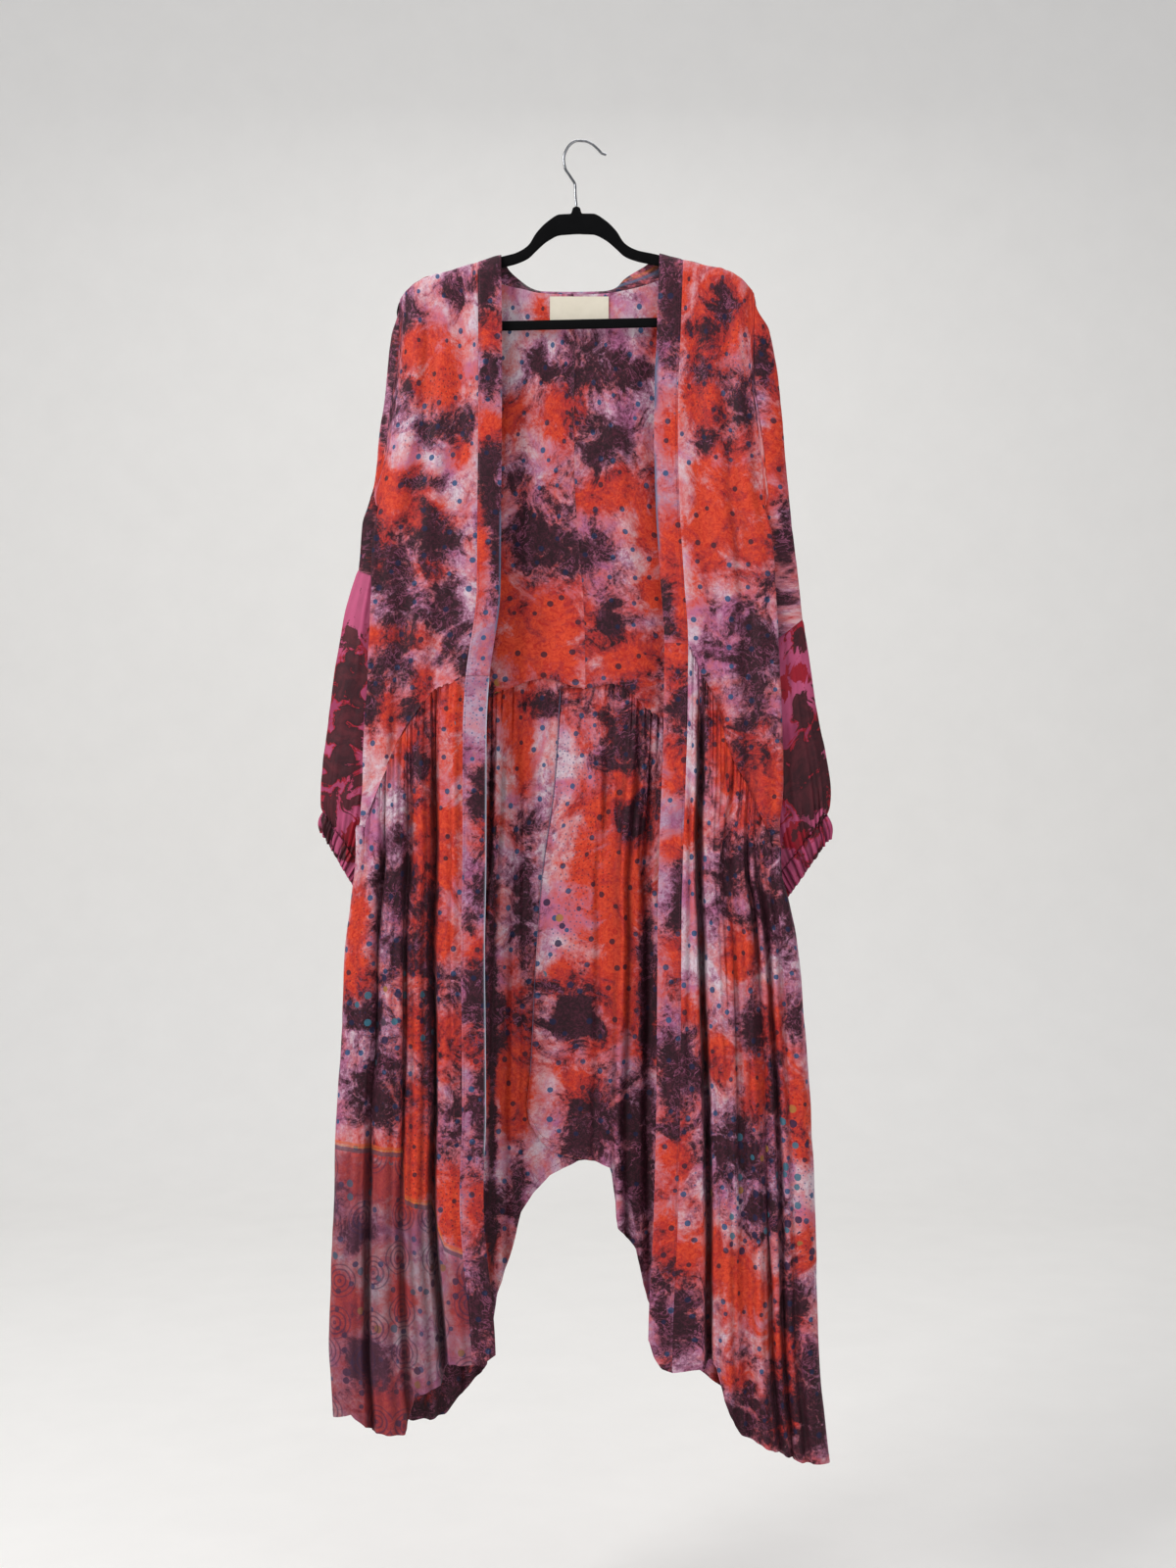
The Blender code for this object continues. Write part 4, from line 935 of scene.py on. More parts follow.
def placed_creases(cloth, rows):
    """Listed creases, each straight between two points of the cloth."""
    total = np.zeros(cloth.points.shape[:2])
    x, drop = cloth.points[..., 0], -cloth.points[..., 2]
    for start_x, start_drop, end_x, end_drop, half_width, high in rows:
        way = np.array([end_x - start_x, end_drop - start_drop])
        long = float(np.hypot(*way))
        way = way / long
        along = (x - start_x) * way[0] + (drop - start_drop) * way[1]
        aside = (x - start_x) * way[1] - (drop - start_drop) * way[0]
        fade = ease(along / (0.25 * long)) * ease((long - along) / (0.35 * long))
        total += high * bump(aside / half_width) * fade
    return total * between_seams(cloth, 4.0)


def hem_ripple(cloth, seed, high, reach):
    """Small waves of the free lower edge."""
    random = np.random.RandomState(seed)
    wave = np.zeros(cloth.points.shape[:2])
    for wavelength in RIPPLE_WAVES:
        phase = 2 * math.pi * random.rand()
        wave += np.sin(2 * math.pi * cloth.place / wavelength + phase)
    return high * wave / 2 * np.exp(-cloth.above / reach) * between_seams(cloth)


def crumple(cloth, seed, high, size):
    """Shallow irregular dents all over, as thin crepe keeps from being worn and folded."""
    random = np.random.RandomState(seed)
    total = np.zeros(cloth.points.shape[:2])
    for octave in range(3):
        for _ in range(7):
            angle = math.pi * random.rand()
            wavelength = size * (0.7 + 0.8 * random.rand()) / 1.7**octave
            phase = 2 * math.pi * random.rand()
            wave = cloth.place * math.cos(angle) + cloth.below * math.sin(angle) * 0.6
            total += np.sin(2 * math.pi * wave / wavelength + phase) / 1.6**octave
    return high * total / 4.0 * between_seams(cloth)


def grooves(cloth, inner=False, outer=False):
    """The cloth dips a little where it meets its neighbour at a long seam."""
    dip = np.zeros(cloth.points.shape[:2])
    for wanted, distance in ((inner, cloth.place), (outer, cloth.width - cloth.place)):
        if wanted:
            dip = np.maximum(dip, np.exp(-((distance / SEAM_GROOVE_WIDTH) ** 2)) + 0 * dip)
    return -SEAM_GROOVE * dip


def front_body(side):
    rows = of_side(side, FRONT_LEFT, FRONT_RIGHT)
    return Body(
        side,
        1,
        edge=lambda drop: column(rows, 2, drop),
        seam=lambda drop: column(rows, 3, drop),
        face=lambda drop: column(rows, 4, drop),
        fold=lambda drop: column(rows, 5, drop),
        inner=lambda drop: column(rows, 1, drop) + BAND_WIDTH,
    )


def back_body(side, inner):
    front_rows = of_side(side, FRONT_LEFT, FRONT_RIGHT)
    rows = of_side(side, BACK_LEFT, BACK_RIGHT)
    return Body(
        side,
        -1,
        edge=lambda drop: column(rows, 1, drop),
        seam=lambda drop: column(front_rows, 3, drop),
        face=lambda drop: column(rows, 2, drop),
        fold=lambda drop: column(rows, 3, drop),
        inner=inner,
    )


def bodice_back(side):
    return back_body(side, lambda drop: side * column(CENTRE_BACK, 1, drop))


def body_lines(cells):
    """t of a body panel's lines: closer together at the inner seam, then round the side fold."""
    width = np.concatenate([[0.0, 0.3, 0.7], np.linspace(1.2, cells, cells)]) / cells
    fold = 1 + np.arange(1, FOLD_CELLS + 1) / FOLD_CELLS
    way_back = 2 + np.arange(1, RETURN_CELLS + 1) / RETURN_CELLS
    return np.concatenate([width, fold, way_back])


def settled(first, place):
    """The drop at which a line crosses a seam or a hem whose drop depends on the line's out."""
    drop = first
    for _ in range(16):
        drop = 0.5 * (drop + place(drop))
    return drop


def bodice_drops(top, hem):
    """Rows of a bodice: down to the underarm first, so that all the armholes share them."""
    upper = (np.linspace(0, 1, UPPER_ROWS) ** 1.8)[None, :]
    lower = np.linspace(0, 1, WAIST_ROWS + 1)[None, 1:]
    lower = 1 - (1 - lower) ** 1.25
    top, hem = top[:, None], hem[:, None]
    above = top + (UNDERARM_DROP - top) * upper
    return np.concatenate([above, UNDERARM_DROP + (hem - UNDERARM_DROP) * lower], axis=1)


def skirt_drops(top, hem):
    """Rows of a skirt: close together under the waist seam, and on both sides of the hem's edge."""
    hem_rows = HEM_WIDTH + np.array([3.0, 1.0, 0.2, -0.5, -3.0, -6.0, -8.2, -9.0])
    last = hem[:, None] - hem_rows[None, :1]
    share = (np.linspace(0, 1, SKIRT_ROWS) ** 1.3)[None, :-1]
    body_rows = top[:, None] + (last - top[:, None]) * share
    return np.concatenate([body_rows, hem[:, None] - hem_rows[None, :]], axis=1)


def panel(body, lines, drops, top_of, bottom_of, folds, start, extra=None):
    """A body panel between two lines across it. `start` is the first guess of its top edge's
    drop, and what `extra` gives for each out is added to y."""
    width_lines = np.clip(lines, 0, 1)

    def out_at(drop, top, hem):
        moved_lines = np.where(lines <= 1, moved(width_lines, drop, folds, top, hem), lines)
        return body.outline(moved_lines, drop)[0]

    guess = np.full(len(lines), start)
    top = settled(guess, lambda drop: top_of(out_at(drop, drop, drop + 100), lines, drop))
    hem = settled(guess + FIRST_LENGTH, lambda drop: bottom_of(out_at(drop, top, drop), lines, drop))
    drop = drops(top, hem)
    tops, hems = top[:, None], hem[:, None]
    along = moved(width_lines[:, None], drop, folds, tops, hems)
    t = np.where(lines[:, None] <= 1, along, lines[:, None])
    out, y = body.outline(t, drop)
    span = body.edge(drop) - body.inner(drop)
    grow = ease((drop - tops) / FOLD_HEAD)
    depth = folds_at(t, drop, folds, tops, hems, span) * grow * (t <= 1)
    y = y + body.inwards * depth
    if extra is not None:
        y = y + extra(out)
    y = body.rolled(y, drop, shoulder_drop(body.side * out))
    return Cloth(world(body.side, out, drop, y), t=lines, relief=-depth)


def on_width(out, lines):
    """out of each line, with the side fold and the return read at the outer edge."""
    return np.where(lines > 1, out[int(np.argmax(lines >= 1))], out)


def waist_front(side):
    rows = of_side(side, WAIST_FRONT_LEFT, WAIST_FRONT_RIGHT)
    return lambda out, lines, drop: column(rows, 1, on_width(out, lines))


def waist_back(side):
    return lambda out, lines, drop: column(WAIST_BACK, 1, side * on_width(out, lines))


def under_bodice(side, bodice):
    """The top of a skirt piece, tucked behind the lower edge of its bodice."""
    lower = bodice.points[bodice.t <= 1, -1]
    rows = sorted(zip(side * lower[:, 0], -lower[:, 2] - SEAM_TUCK))
    return lambda out, lines, drop: straight(rows, 1, on_width(out, lines))


def hem_of(rows):
    return lambda out, lines, drop: straight(rows, 1, out)


def front_top(side):
    return lambda out, lines, drop: shoulder_drop(side * out)


def front_bodice(side):
    lines = body_lines(BODICE_CELLS)
    waist = waist_front(side)
    return panel(front_body(side), lines, bodice_drops, front_top(side), waist, FOLDS_BODICE, FIRST_TOP)


def back_top(side):
    def top(out, lines, drop):
        x = side * out
        shoulder = shoulder_drop(x)
        neck = column(NECKLINE, 1, x)
        inside = (x > NECKLINE[0][0]) & (x < NECKLINE[-1][0])
        return np.where(inside, np.maximum(shoulder, neck), shoulder)

    return top


def back_bodice(side):
    lines = body_lines(BODICE_CELLS)
    waist = waist_back(side)
    return panel(bodice_back(side), lines, bodice_drops, back_top(side), waist, FOLDS_BODICE, FIRST_TOP)


def front_skirt(side, bodice):
    folds = of_side(side, FOLDS_FRONT_LEFT, FOLDS_FRONT_RIGHT)
    hem_rows = of_side(side, HEM_FRONT_LEFT, HEM_FRONT_RIGHT)
    lines = body_lines(FRONT_SKIRT_CELLS)
    top = under_bodice(side, bodice)
    return panel(front_body(side), lines, skirt_drops, top, hem_of(hem_rows), folds, FIRST_WAIST)


def back_skirt(side, bodice):
    lap = of_side(side, LAP_LEFT, LAP_RIGHT)
    body = back_body(side, lambda drop: side * column(lap, 1, drop))
    folds = of_side(side, FOLDS_BACK_LEFT, FOLDS_BACK_RIGHT)
    hem_rows = of_side(side, HEM_BACK_LEFT, HEM_BACK_RIGHT)
    away, flat_to = of_side(side, LAP_BEHIND, LAP_BEFORE)

    def lapped(out):
        return away * (1 - ease((out - flat_to) / LAP_FADE))

    lines = body_lines(BACK_SKIRT_CELLS)
    top = under_bodice(side, bodice)
    return panel(body, lines, skirt_drops, top, hem_of(hem_rows), folds, FIRST_WAIST, lapped)


def band(side, rows, top_of=None, bottom_of=None):
    """A stretch of the band along the front edge. Its rows are those of the panel that it is sewn
    to, and near an end that isn't level they turn to follow that end."""
    body = front_body(side)
    across = np.linspace(0.0, 1.0, BAND_CELLS + 1)[:, None] ** 1.2
    out = body.inner(rows) - BAND_WIDTH + BAND_WIDTH * across
    drop = rows + 0 * across
    if top_of is not None:
        drop = drop + (top_of(out[:, :1]) - rows[0]) * np.exp((rows[0] - rows) / BAND_END_REACH)
    if bottom_of is not None:
        drop = drop + (bottom_of(out[:, -1:]) - rows[-1]) * np.exp((rows - rows[-1]) / BAND_END_REACH)
    y = body.face(rows) + BAND_ROLL * (1 - across) ** 4
    y = body.rolled(y, drop, shoulder_drop(side * out))
    return Cloth(world(side, out, drop, y))


def front_band(side, bodice):
    """From the shoulder to the seam at the waist, where the band is pieced."""
    return band(side, -bodice.points[0, :, 2], top_of=lambda out: shoulder_drop(side * out))


def skirt_band(side, bodice, skirt):
    """From the seam at the waist to the hem."""
    hem_rows = of_side(side, HEM_FRONT_LEFT, HEM_FRONT_RIGHT)
    waist = -bodice.points[0, -1, 2] + WAIST_GAP
    rows = -skirt.points[0, :, 2]
    rows = np.concatenate([[waist], rows[rows > waist + 0.5]])
    return band(side, rows, bottom_of=lambda out: straight(hem_rows, 1, out))


def upper_sleeve(side, bodice):
    """The upper sleeve: open to the armhole above, and closed to a flat tube under the arm."""
    silhouette = of_side(side, SLEEVE_SILHOUETTE_LEFT, SLEEVE_SILHOUETTE_RIGHT)
    seam_drop, seam_slope = of_side(side, SLEEVE_SEAM_LEFT, SLEEVE_SEAM_RIGHT)
    number = of_side(side, 2, 3)
    s = np.linspace(0, 1, SLEEVE_CELLS + 1)[:, None]
    share = (1 - np.cos(2 * math.pi * s)) / 2
    ends = UNDERARM[-1][number]
    outer = column(silhouette, 1, seam_drop)
    bottom = seam_drop + seam_slope * (outer - ends) * (1 - share)
    armhole_drops = -bodice.points[-1, SLEEVE_START:UPPER_ROWS, 2]
    above = armhole_drops[None, :] + 0 * s
    below = UNDERARM_DROP + (bottom - UNDERARM_DROP) * (np.arange(1, SLEEVE_ROWS + 1) / SLEEVE_ROWS)
    drop = np.concatenate([above, below], axis=1)
    closed = straight(UNDERARM, 1, drop)
    under = straight(UNDERARM, number, drop)
    armhole = np.minimum(drop, UNDERARM_DROP)
    reach = column(silhouette, 1, drop)
    edges, depths = [], []
    for body in (front_body(side), bodice_back(side)):
        out, y = body.outline(np.full(drop.shape, 3.0), armhole)
        depths.append(body.rolled(y, armhole, shoulder_drop(side * out)))
        edges.append(np.where(drop <= UNDERARM_DROP, out, under))
    open_out = edges[0] + (edges[1] - edges[0]) * s
    grow = ease((drop - drop[:, :1]) / SLEEVE_HEAD)
    open_out = open_out + grow * (reach - (edges[0] + edges[1]) / 2) * np.sin(math.pi * s)
    open_y = depths[0] + (depths[1] - depths[0]) * (1 - np.cos(math.pi * s)) / 2
    tube_out = under + (reach - under) * share
    tube_y = -SLEEVE_DEPTH * np.sin(2 * math.pi * s)
    out = open_out + closed * (tube_out - open_out)
    y = open_y + closed * (tube_y - open_y)
    return Cloth(world(side, out, drop, y))


def tube(side, rows, count, levels):
    """A flattened tube through rings. Each ring runs from its inner end round its front to its
    outer end and back."""
    s = np.arange(count)[:, None] / count
    numbered = [(float(i), *row) for i, row in enumerate(rows)]
    at = np.asarray(levels)[None, :] * (len(rows) - 1)
    outer_out, outer_drop, inner_out, inner_drop, depth = (
        column(numbered, k, at) for k in range(1, 6)
    )
    share = (1 - np.cos(2 * math.pi * s)) / 2
    out = inner_out + (outer_out - inner_out) * share
    drop = inner_drop + (outer_drop - inner_drop) * share
    y = -depth * np.sin(2 * math.pi * s)
    return Cloth(world(side, out, drop, y), ring=True)


def lower_sleeve(side):
    rows = of_side(side, LOWER_SLEEVE_LEFT, LOWER_SLEEVE_RIGHT)
    return tube(side, rows, LOWER_SLEEVE_CELLS, np.linspace(0, 1, LOWER_SLEEVE_ROWS + 1))


def cuff(side):
    rows = of_side(side, CUFF_LEFT, CUFF_RIGHT)
    return tube(side, rows, LOWER_SLEEVE_CELLS, np.linspace(0, 1, CUFF_ROWS + 1))


def on_seam(upper, x):
    """drop and y of the back neck seam, just above the upper edge of the back bodice."""
    drop = -np.interp(x, upper[:, 0], upper[:, 2]) - NECK_SEAM_LIFT
    return drop, np.interp(x, upper[:, 0], upper[:, 1])


def shoulder_end(side):
    """The end of the back neck band on the arm of the hanger, against the front band."""
    seam_out = float(front_body(side).inner(FRONT_LEFT[0][0]))
    rows = []
    for y, lower in ((SHOULDER_START, 0.0), (BEHIND_ARM, BEHIND_ARM_DROP)):
        outs = (seam_out, seam_out - BAND_WIDTH / 2, seam_out - BAND_WIDTH)
        rows.append(tuple((side * out, float(shoulder_drop(side * out)) + lower, y) for out in outs))
    return rows


def back_neck_band(backs):
    """The band round the back of the neck, through its seam, its crest and its free edge."""
    upper = np.concatenate([back.points[back.t <= 1, 0] for back in backs])
    upper = upper[np.argsort(upper[:, 0])]
    rows = [((x, *on_seam(upper, x)), crest, edge) for x, crest, edge in NECK_BAND_ROWS]
    rows = shoulder_end(-1) + rows + shoulder_end(1)[::-1]
    columns = np.array(rows)
    numbers = np.arange(len(columns), dtype=float)
    fine = np.linspace(0, len(columns) - 1, NECK_BAND_CELLS + 1)
    widths = np.linspace(0, 1, NECK_BAND_WIDTHS)
    grid = np.zeros((len(fine), len(widths), 3))
    for k in range(3):
        lines = [column(list(zip(numbers, columns[:, part, k])), 1, fine) for part in range(3)]
        if k > 0:
            seam = on_seam(upper, grid[:, 0, 0])[k - 1]
            inside = (fine >= 2) & (fine <= len(columns) - 3)
            lines[0] = np.where(inside, seam, np.minimum(lines[0], seam) if k == 1 else lines[0])
        for j, w in enumerate(widths):
            seam_w, crest_w, edge_w = (1 - w) * (1 - 2 * w), 4 * w * (1 - w), w * (2 * w - 1)
            grid[:, j, k] = seam_w * lines[0] + crest_w * lines[1] + edge_w * lines[2]
    return Cloth(world(1, grid[..., 0], grid[..., 1], grid[..., 2]))


def neck_label():
    x = np.linspace(*LABEL_X, LABEL_CELLS[0])[:, None] + np.zeros((1, LABEL_CELLS[1]))
    drop = np.linspace(*LABEL_DROP, LABEL_CELLS[1])[None, :] + 0 * x
    return Cloth(world(1, x, drop, bodice_back(1).face(drop) - LABEL_STAND))


def unfolded_x(cloth, side):
    """x of each point as if the side fold were opened out flat, for the dye."""
    x = cloth.points[..., 0].copy()
    if cloth.t is not None:
        last = int(np.argmax(cloth.t >= 1))
        beyond = cloth.across[last:] - cloth.across[last]
        x[last:] = x[last] + side * beyond
    return x


def patches(rows, x, drop):
    """How strongly the patches of a dye, as boxes in pixels of the reference, cover each point."""
    px, py = x / PIXEL + MIDDLE_PX, drop / PIXEL + HOOK_PX
    clear = np.ones(x.shape)
    for left, top, right, bottom in rows:
        across = (px - (left + right) / 2) / ((right - left) / 2)
        down = (py - (top + bottom) / 2) / ((bottom - top) / 2)
        clear *= 1 - 0.5 ** np.minimum(((across**2 + down**2) / PATCH_SPREAD**2) ** 0.85, 30.0)
    return 1 - clear


def strewn(seed, count, left, right, top, bottom):
    """Patches of dye for cloth that the reference doesn't show."""
    random = np.random.RandomState(seed)
    rows = []
    for _ in range(count):
        px = left + (right - left) * random.rand()
        py = top + (bottom - top) * random.rand()
        wide = 7 + 17 * random.rand()
        high = 9 + 24 * random.rand()
        rows.append((px - wide, py - high, px + wide, py + high))
    return rows


def back_dye(seed):
    return [row for i, zone in enumerate(BACK_UNSEEN) for row in strewn(seed + i, BACK_PATCHES, *zone)]


def dyed(cloth, side, plum_rows, coral_rows):
    """The masks of the dyes and prints over one piece."""
    x, drop = unfolded_x(cloth, side), -cloth.points[..., 2]
    return {
        "plum": patches(plum_rows, x, drop),
        "coral": patches(coral_rows, x, drop),
        "specks": patches(SPECK_ZONES, x, drop),
        "discs": patches(DISC_ZONES, x, drop),
    }


def sleeve_dyed(cloth):
    x, drop = cloth.points[..., 0], -cloth.points[..., 2]
    return {"plum": patches(MAROON, x, drop), "coral": patches(CRIMSON, x, drop)}


def border_print(cloth, masks):
    """The striped line and the field below it at the hem of the left front."""
    x, drop = unfolded_x(cloth, -1), -cloth.points[..., 2]
    px, py = x / PIXEL + MIDDLE_PX, drop / PIXEL + HOOK_PX
    below = py - straight(BORDER_LINE, 1, px)
    masks["line"] = np.clip((below + LINE_ABOVE) / (LINE_ABOVE + LINE_BELOW), 0, 1)
    masks["border"] = ease((below - 8) / 6)
    masks["discs"] = np.maximum(masks["discs"], 0.3 * masks["border"])


def edge_line(cloth, masks, top, bottom, wide=2.2, tint="slate"):
    """A woven line along the cloth's first long edge, between two drops."""
    drop = -cloth.points[..., 2]
    ends = ease((drop - top) / 12) * ease((bottom - drop) / 12)
    masks[tint] = np.maximum(masks.get(tint, 0.0), bump(cloth.place / wide) * ends)


def mesh_piece(name, vertices, faces, corners, made_of, masks=None):
    """An object from points in metres, faces of four points and each corner's place on the cloth."""
    a, b, c, d = (vertices[faces[:, k]] for k in range(4))
    volume = np.sum(a * np.cross(b, c)) + np.sum(a * np.cross(c, d))
    if volume < 0:
        faces, corners = faces[:, ::-1], corners[:, ::-1]
    mesh = bpy.data.meshes.new(name)
    mesh.vertices.add(len(vertices))
    mesh.vertices.foreach_set("co", np.ascontiguousarray(vertices, dtype=np.float32).ravel())
    mesh.loops.add(faces.size)
    mesh.loops.foreach_set("vertex_index", np.ascontiguousarray(faces, dtype=np.int32).ravel())
    mesh.polygons.add(len(faces))
    mesh.polygons.foreach_set("loop_start", np.arange(0, faces.size, 4, dtype=np.int32))
    mesh.update(calc_edges=True)
    layer = mesh.uv_layers.new(name="flat_cloth")
    layer.data.foreach_set("uv", np.ascontiguousarray(corners, dtype=np.float32).ravel())
    for mask, values in (masks or {}).items():
        attribute = mesh.attributes.new(mask, "FLOAT", "POINT")
        layers = values if isinstance(values, tuple) else (values, values)
        both = np.concatenate([layer.ravel() for layer in layers])
        attribute.data.foreach_set("value", both.astype(np.float32))
    mesh.shade_smooth()
    mesh.set_sharp_from_angle(angle=math.radians(62))
    mesh.materials.append(made_of)
    made = bpy.data.objects.new(name, mesh)
    bpy.context.scene.collection.objects.link(made)
    return made


def level_place(cloth):
    """How far across each line of the cloth lies, smoothed out and measured level."""
    level = cloth.points.copy()
    level[..., 2] = 0
    steady = lengths_along(level, 0)[:, int(level.shape[1] * STEADY_ROW)]
    return np.broadcast_to(steady[:, None], level.shape[:2])


def shell(name, cloth, made_of, thickness=SHELL, masks=None):
    """A closed thin wall on a piece of cloth: its two faces and the rims between them. Each is cut
    from its own stretch of the cloth, so no two are dyed alike."""
    count, rows = cloth.points.shape[:2]
    layer_size = count * rows
    half = np.broadcast_to(thickness, (count, rows))[..., None] / 2
    sides = [(cloth.points + sign * cloth.normals * half).reshape(-1, 3) for sign in (1, -1)]
    across, down = level_place(cloth), -cloth.points[..., 2]
    if cloth.ring:
        across = np.broadcast_to(cloth.place, (count, rows))
        across = np.concatenate([across, np.full((1, rows), cloth.width)])
        down = np.concatenate([cloth.down, cloth.down[:1]])
    flat = np.stack([across, down], axis=-1).reshape(-1, 2) * MM
    flat = flat + CLOTH_START * len(bpy.data.meshes)
    cell = np.arange(across.shape[0] * rows).reshape(-1, rows)
    a, b, c, d = cell[:-1, :-1], cell[1:, :-1], cell[1:, 1:], cell[:-1, 1:]
    strips = [((a, b, c, d), (0, 0, 0, 0)), ((a, d, c, b), (1, 1, 1, 1))]
    upper, lower = (cell[:-1, 0], cell[1:, 0]), (cell[:-1, -1], cell[1:, -1])
    strips.append(((upper[0], upper[0], upper[1], upper[1]), (0, 1, 1, 0)))
    strips.append(((lower[0], lower[1], lower[1], lower[0]), (0, 0, 1, 1)))
    if not cloth.ring:
        first, last = (cell[0, :-1], cell[0, 1:]), (cell[-1, :-1], cell[-1, 1:])
        strips.append(((first[0], first[1], first[1], first[0]), (0, 0, 1, 1)))
        strips.append(((last[0], last[0], last[1], last[1]), (0, 1, 1, 0)))
    faces, corners = [], []
    for quads, layers in strips:
        places = np.stack([quad.ravel() for quad in quads], axis=-1)
        faces.append(places % layer_size + layer_size * np.array(layers))
        corners.append(flat[places])
    vertices = np.concatenate(sides) * MM
    return mesh_piece(name, vertices, np.concatenate(faces), np.concatenate(corners), made_of, masks)


def stitches(name, paths, thread, deep):
    """Rows of short stitches that go through the cloth, so that they show on both its faces."""
    vertices, faces = [], []
    corners = np.array([(sx, sy, sz) for sx in (-1, 1) for sy in (-1, 1) for sz in (-1, 1)])
    box = np.array([(0, 1, 3, 2), (4, 6, 7, 5), (0, 4, 5, 1), (2, 3, 7, 6), (0, 2, 6, 4), (1, 5, 7, 3)])
    for points, normals in paths:
        along = lengths_along(points, 0)
        for start in np.arange(STITCH_SPACING / 2, along[-1], STITCH_SPACING):
            place = np.array([np.interp(start, along, points[:, k]) for k in range(3)])
            ahead = np.array([np.interp(start + 0.5, along, points[:, k]) for k in range(3)])
            normal = np.array([np.interp(start, along, normals[:, k]) for k in range(3)])
            way = (ahead - place) / max(np.linalg.norm(ahead - place), 1e-6)
            aside = np.cross(way, normal)
            size = (STITCH_LENGTH / 2, STITCH_WIDTH / 2, deep / 2 + 0.12)
            frame_rows = np.stack([way * size[0], aside * size[1], normal * size[2]])
            faces.append(box + 8 * len(vertices))
            vertices.append(place + corners @ frame_rows)
    faces = np.concatenate(faces)
    return mesh_piece(name, np.concatenate(vertices) * MM, faces, np.zeros((len(faces), 4, 2)), thread)


def row_path(cloth, distance, from_below=True):
    """A path across the cloth at a distance from its lower or upper edge."""
    away = cloth.above if from_below else cloth.below
    j = int(np.argmin(np.abs(away.mean(axis=0) - distance)))
    return cloth.points[:, j], cloth.normals[:, j]


def line_path(cloth, distance, from_end=False):
    """A path down the cloth at a distance from its first or last line."""
    away = cloth.width - cloth.place[:, 0] if from_end else cloth.place[:, 0]
    i = int(np.argmin(np.abs(away - distance)))
    return cloth.points[i], cloth.normals[i]


def squared(value):
    """A sine or cosine that gives a rounded square in place of a circle."""
    return np.sign(value) * np.abs(value) ** HANGER_SQUARENESS


def hanger_form(velvet):
    """The arms, the tips and the bar as one closed loop of sections with rounded edges."""
    rows = [(out, top, out, bottom) for out, top, bottom in ARM_ROWS] + TIP_ROWS
    low = BAR_TOP + BAR_HEIGHT
    rows += [(BAR_REACH * share, low, BAR_REACH * share, BAR_TOP) for share in (1.0, 0.5, 0.0)]
    numbered = [(float(i), *row) for i, row in enumerate(rows)]
    at = np.linspace(0, len(rows) - 1, HANGER_CELLS)
    half = np.stack([column(numbered, k, at) for k in range(1, 5)], axis=-1)
    loop = np.concatenate([half, half[-2:0:-1]])
    side = np.concatenate([np.ones(len(half)), -np.ones(len(half) - 2)])[:, None]
    turn = np.linspace(0, 2 * math.pi, HANGER_SECTION, endpoint=False)[None, :]
    across, thick = 0.5 - 0.5 * squared(np.cos(turn)), squared(np.sin(turn))
    out = loop[:, :1] + (loop[:, 2:3] - loop[:, :1]) * across
    drop = loop[:, 1:2] + (loop[:, 3:4] - loop[:, 1:2]) * across - HANGER_TILT * side * out
    points = world(1, HANGER_X + side * out, drop, thick * HANGER_THICKNESS / 2 + 0 * out)
    count, rows = points.shape[:2]
    number = np.arange(count * rows).reshape(count, rows)
    right, under = np.roll(number, -1, axis=0), np.roll(number, -1, axis=1)
    both = np.roll(under, -1, axis=0)
    faces = np.stack([number, right, both, under], axis=-1).reshape(-1, 4)
    corners = points.reshape(-1, 3)[faces][..., [0, 2]] * MM
    return mesh_piece("hanger_frame_velvet", points.reshape(-1, 3) * MM, faces, corners, velvet)


def hook_form(chrome):
    """The hook's wire, as a round curve through its route."""
    route = np.array(HOOK_ROUTE)
    places = np.arange(len(route), dtype=float)
    fine = np.linspace(0, len(route) - 1, HOOK_POINTS)
    curve = bpy.data.curves.new("hanger_hook_wire", "CURVE")
    curve.dimensions = "3D"
    curve.bevel_depth = HOOK_WIRE / 2 * MM
    curve.bevel_resolution = 6
    curve.use_fill_caps = True
    spline = curve.splines.new("POLY")
    spline.points.add(len(fine) - 1)
    xs, drops = (column(list(zip(places, route[:, k])), 1, fine) for k in range(2))
    for point, x, drop in zip(spline.points, xs, drops):
        point.co = (x * MM, 0.0, -drop * MM, 1.0)
    spline.use_smooth = True
    curve.materials.append(chrome)
    made = bpy.data.objects.new("hanger_hook_wire", curve)
    bpy.context.scene.collection.objects.link(made)
    return made


def srgb(red, green, blue):
    """A colour as the eye names it, from 0 to 255, turned to the light that it reflects."""
    parts = [value / 255 for value in (red, green, blue)]
    return tuple(p / 12.92 if p <= 0.04045 else ((p + 0.055) / 1.055) ** 2.4 for p in parts) + (1.0,)


def colour(name):
    return srgb(*COLOURS[name])


def join(tree, value, socket):
    if isinstance(value, bpy.types.NodeSocket):
        tree.links.new(value, socket)
    else:
        socket.default_value = value


def node(tree, kind, values=None, **settings):
    made = tree.nodes.new(kind)
    for name, value in settings.items():
        setattr(made, name, value)
    for name, value in (values or {}).items():
        join(tree, value, made.inputs[name])
    return made


def maths(tree, operation, *values):
    made = node(tree, "ShaderNodeMath", operation=operation)
    for socket, value in zip(made.inputs, values):
        join(tree, value, socket)
    return made.outputs[0]


def times(tree, first, *others):
    for other in others:
        first = maths(tree, "MULTIPLY", first, other)
    return first


def plus(tree, first, *others):
    for other in others:
        first = maths(tree, "ADD", first, other)
    return first


def between(tree, value, low, high):
    """0 below low, 1 above high and smooth from one to the other."""
    made = node(tree, "ShaderNodeMapRange", interpolation_type="SMOOTHSTEP")
    for name, number in (("Value", value), ("From Min", low), ("From Max", high)):
        join(tree, number, made.inputs[name])
    return made.outputs[0]


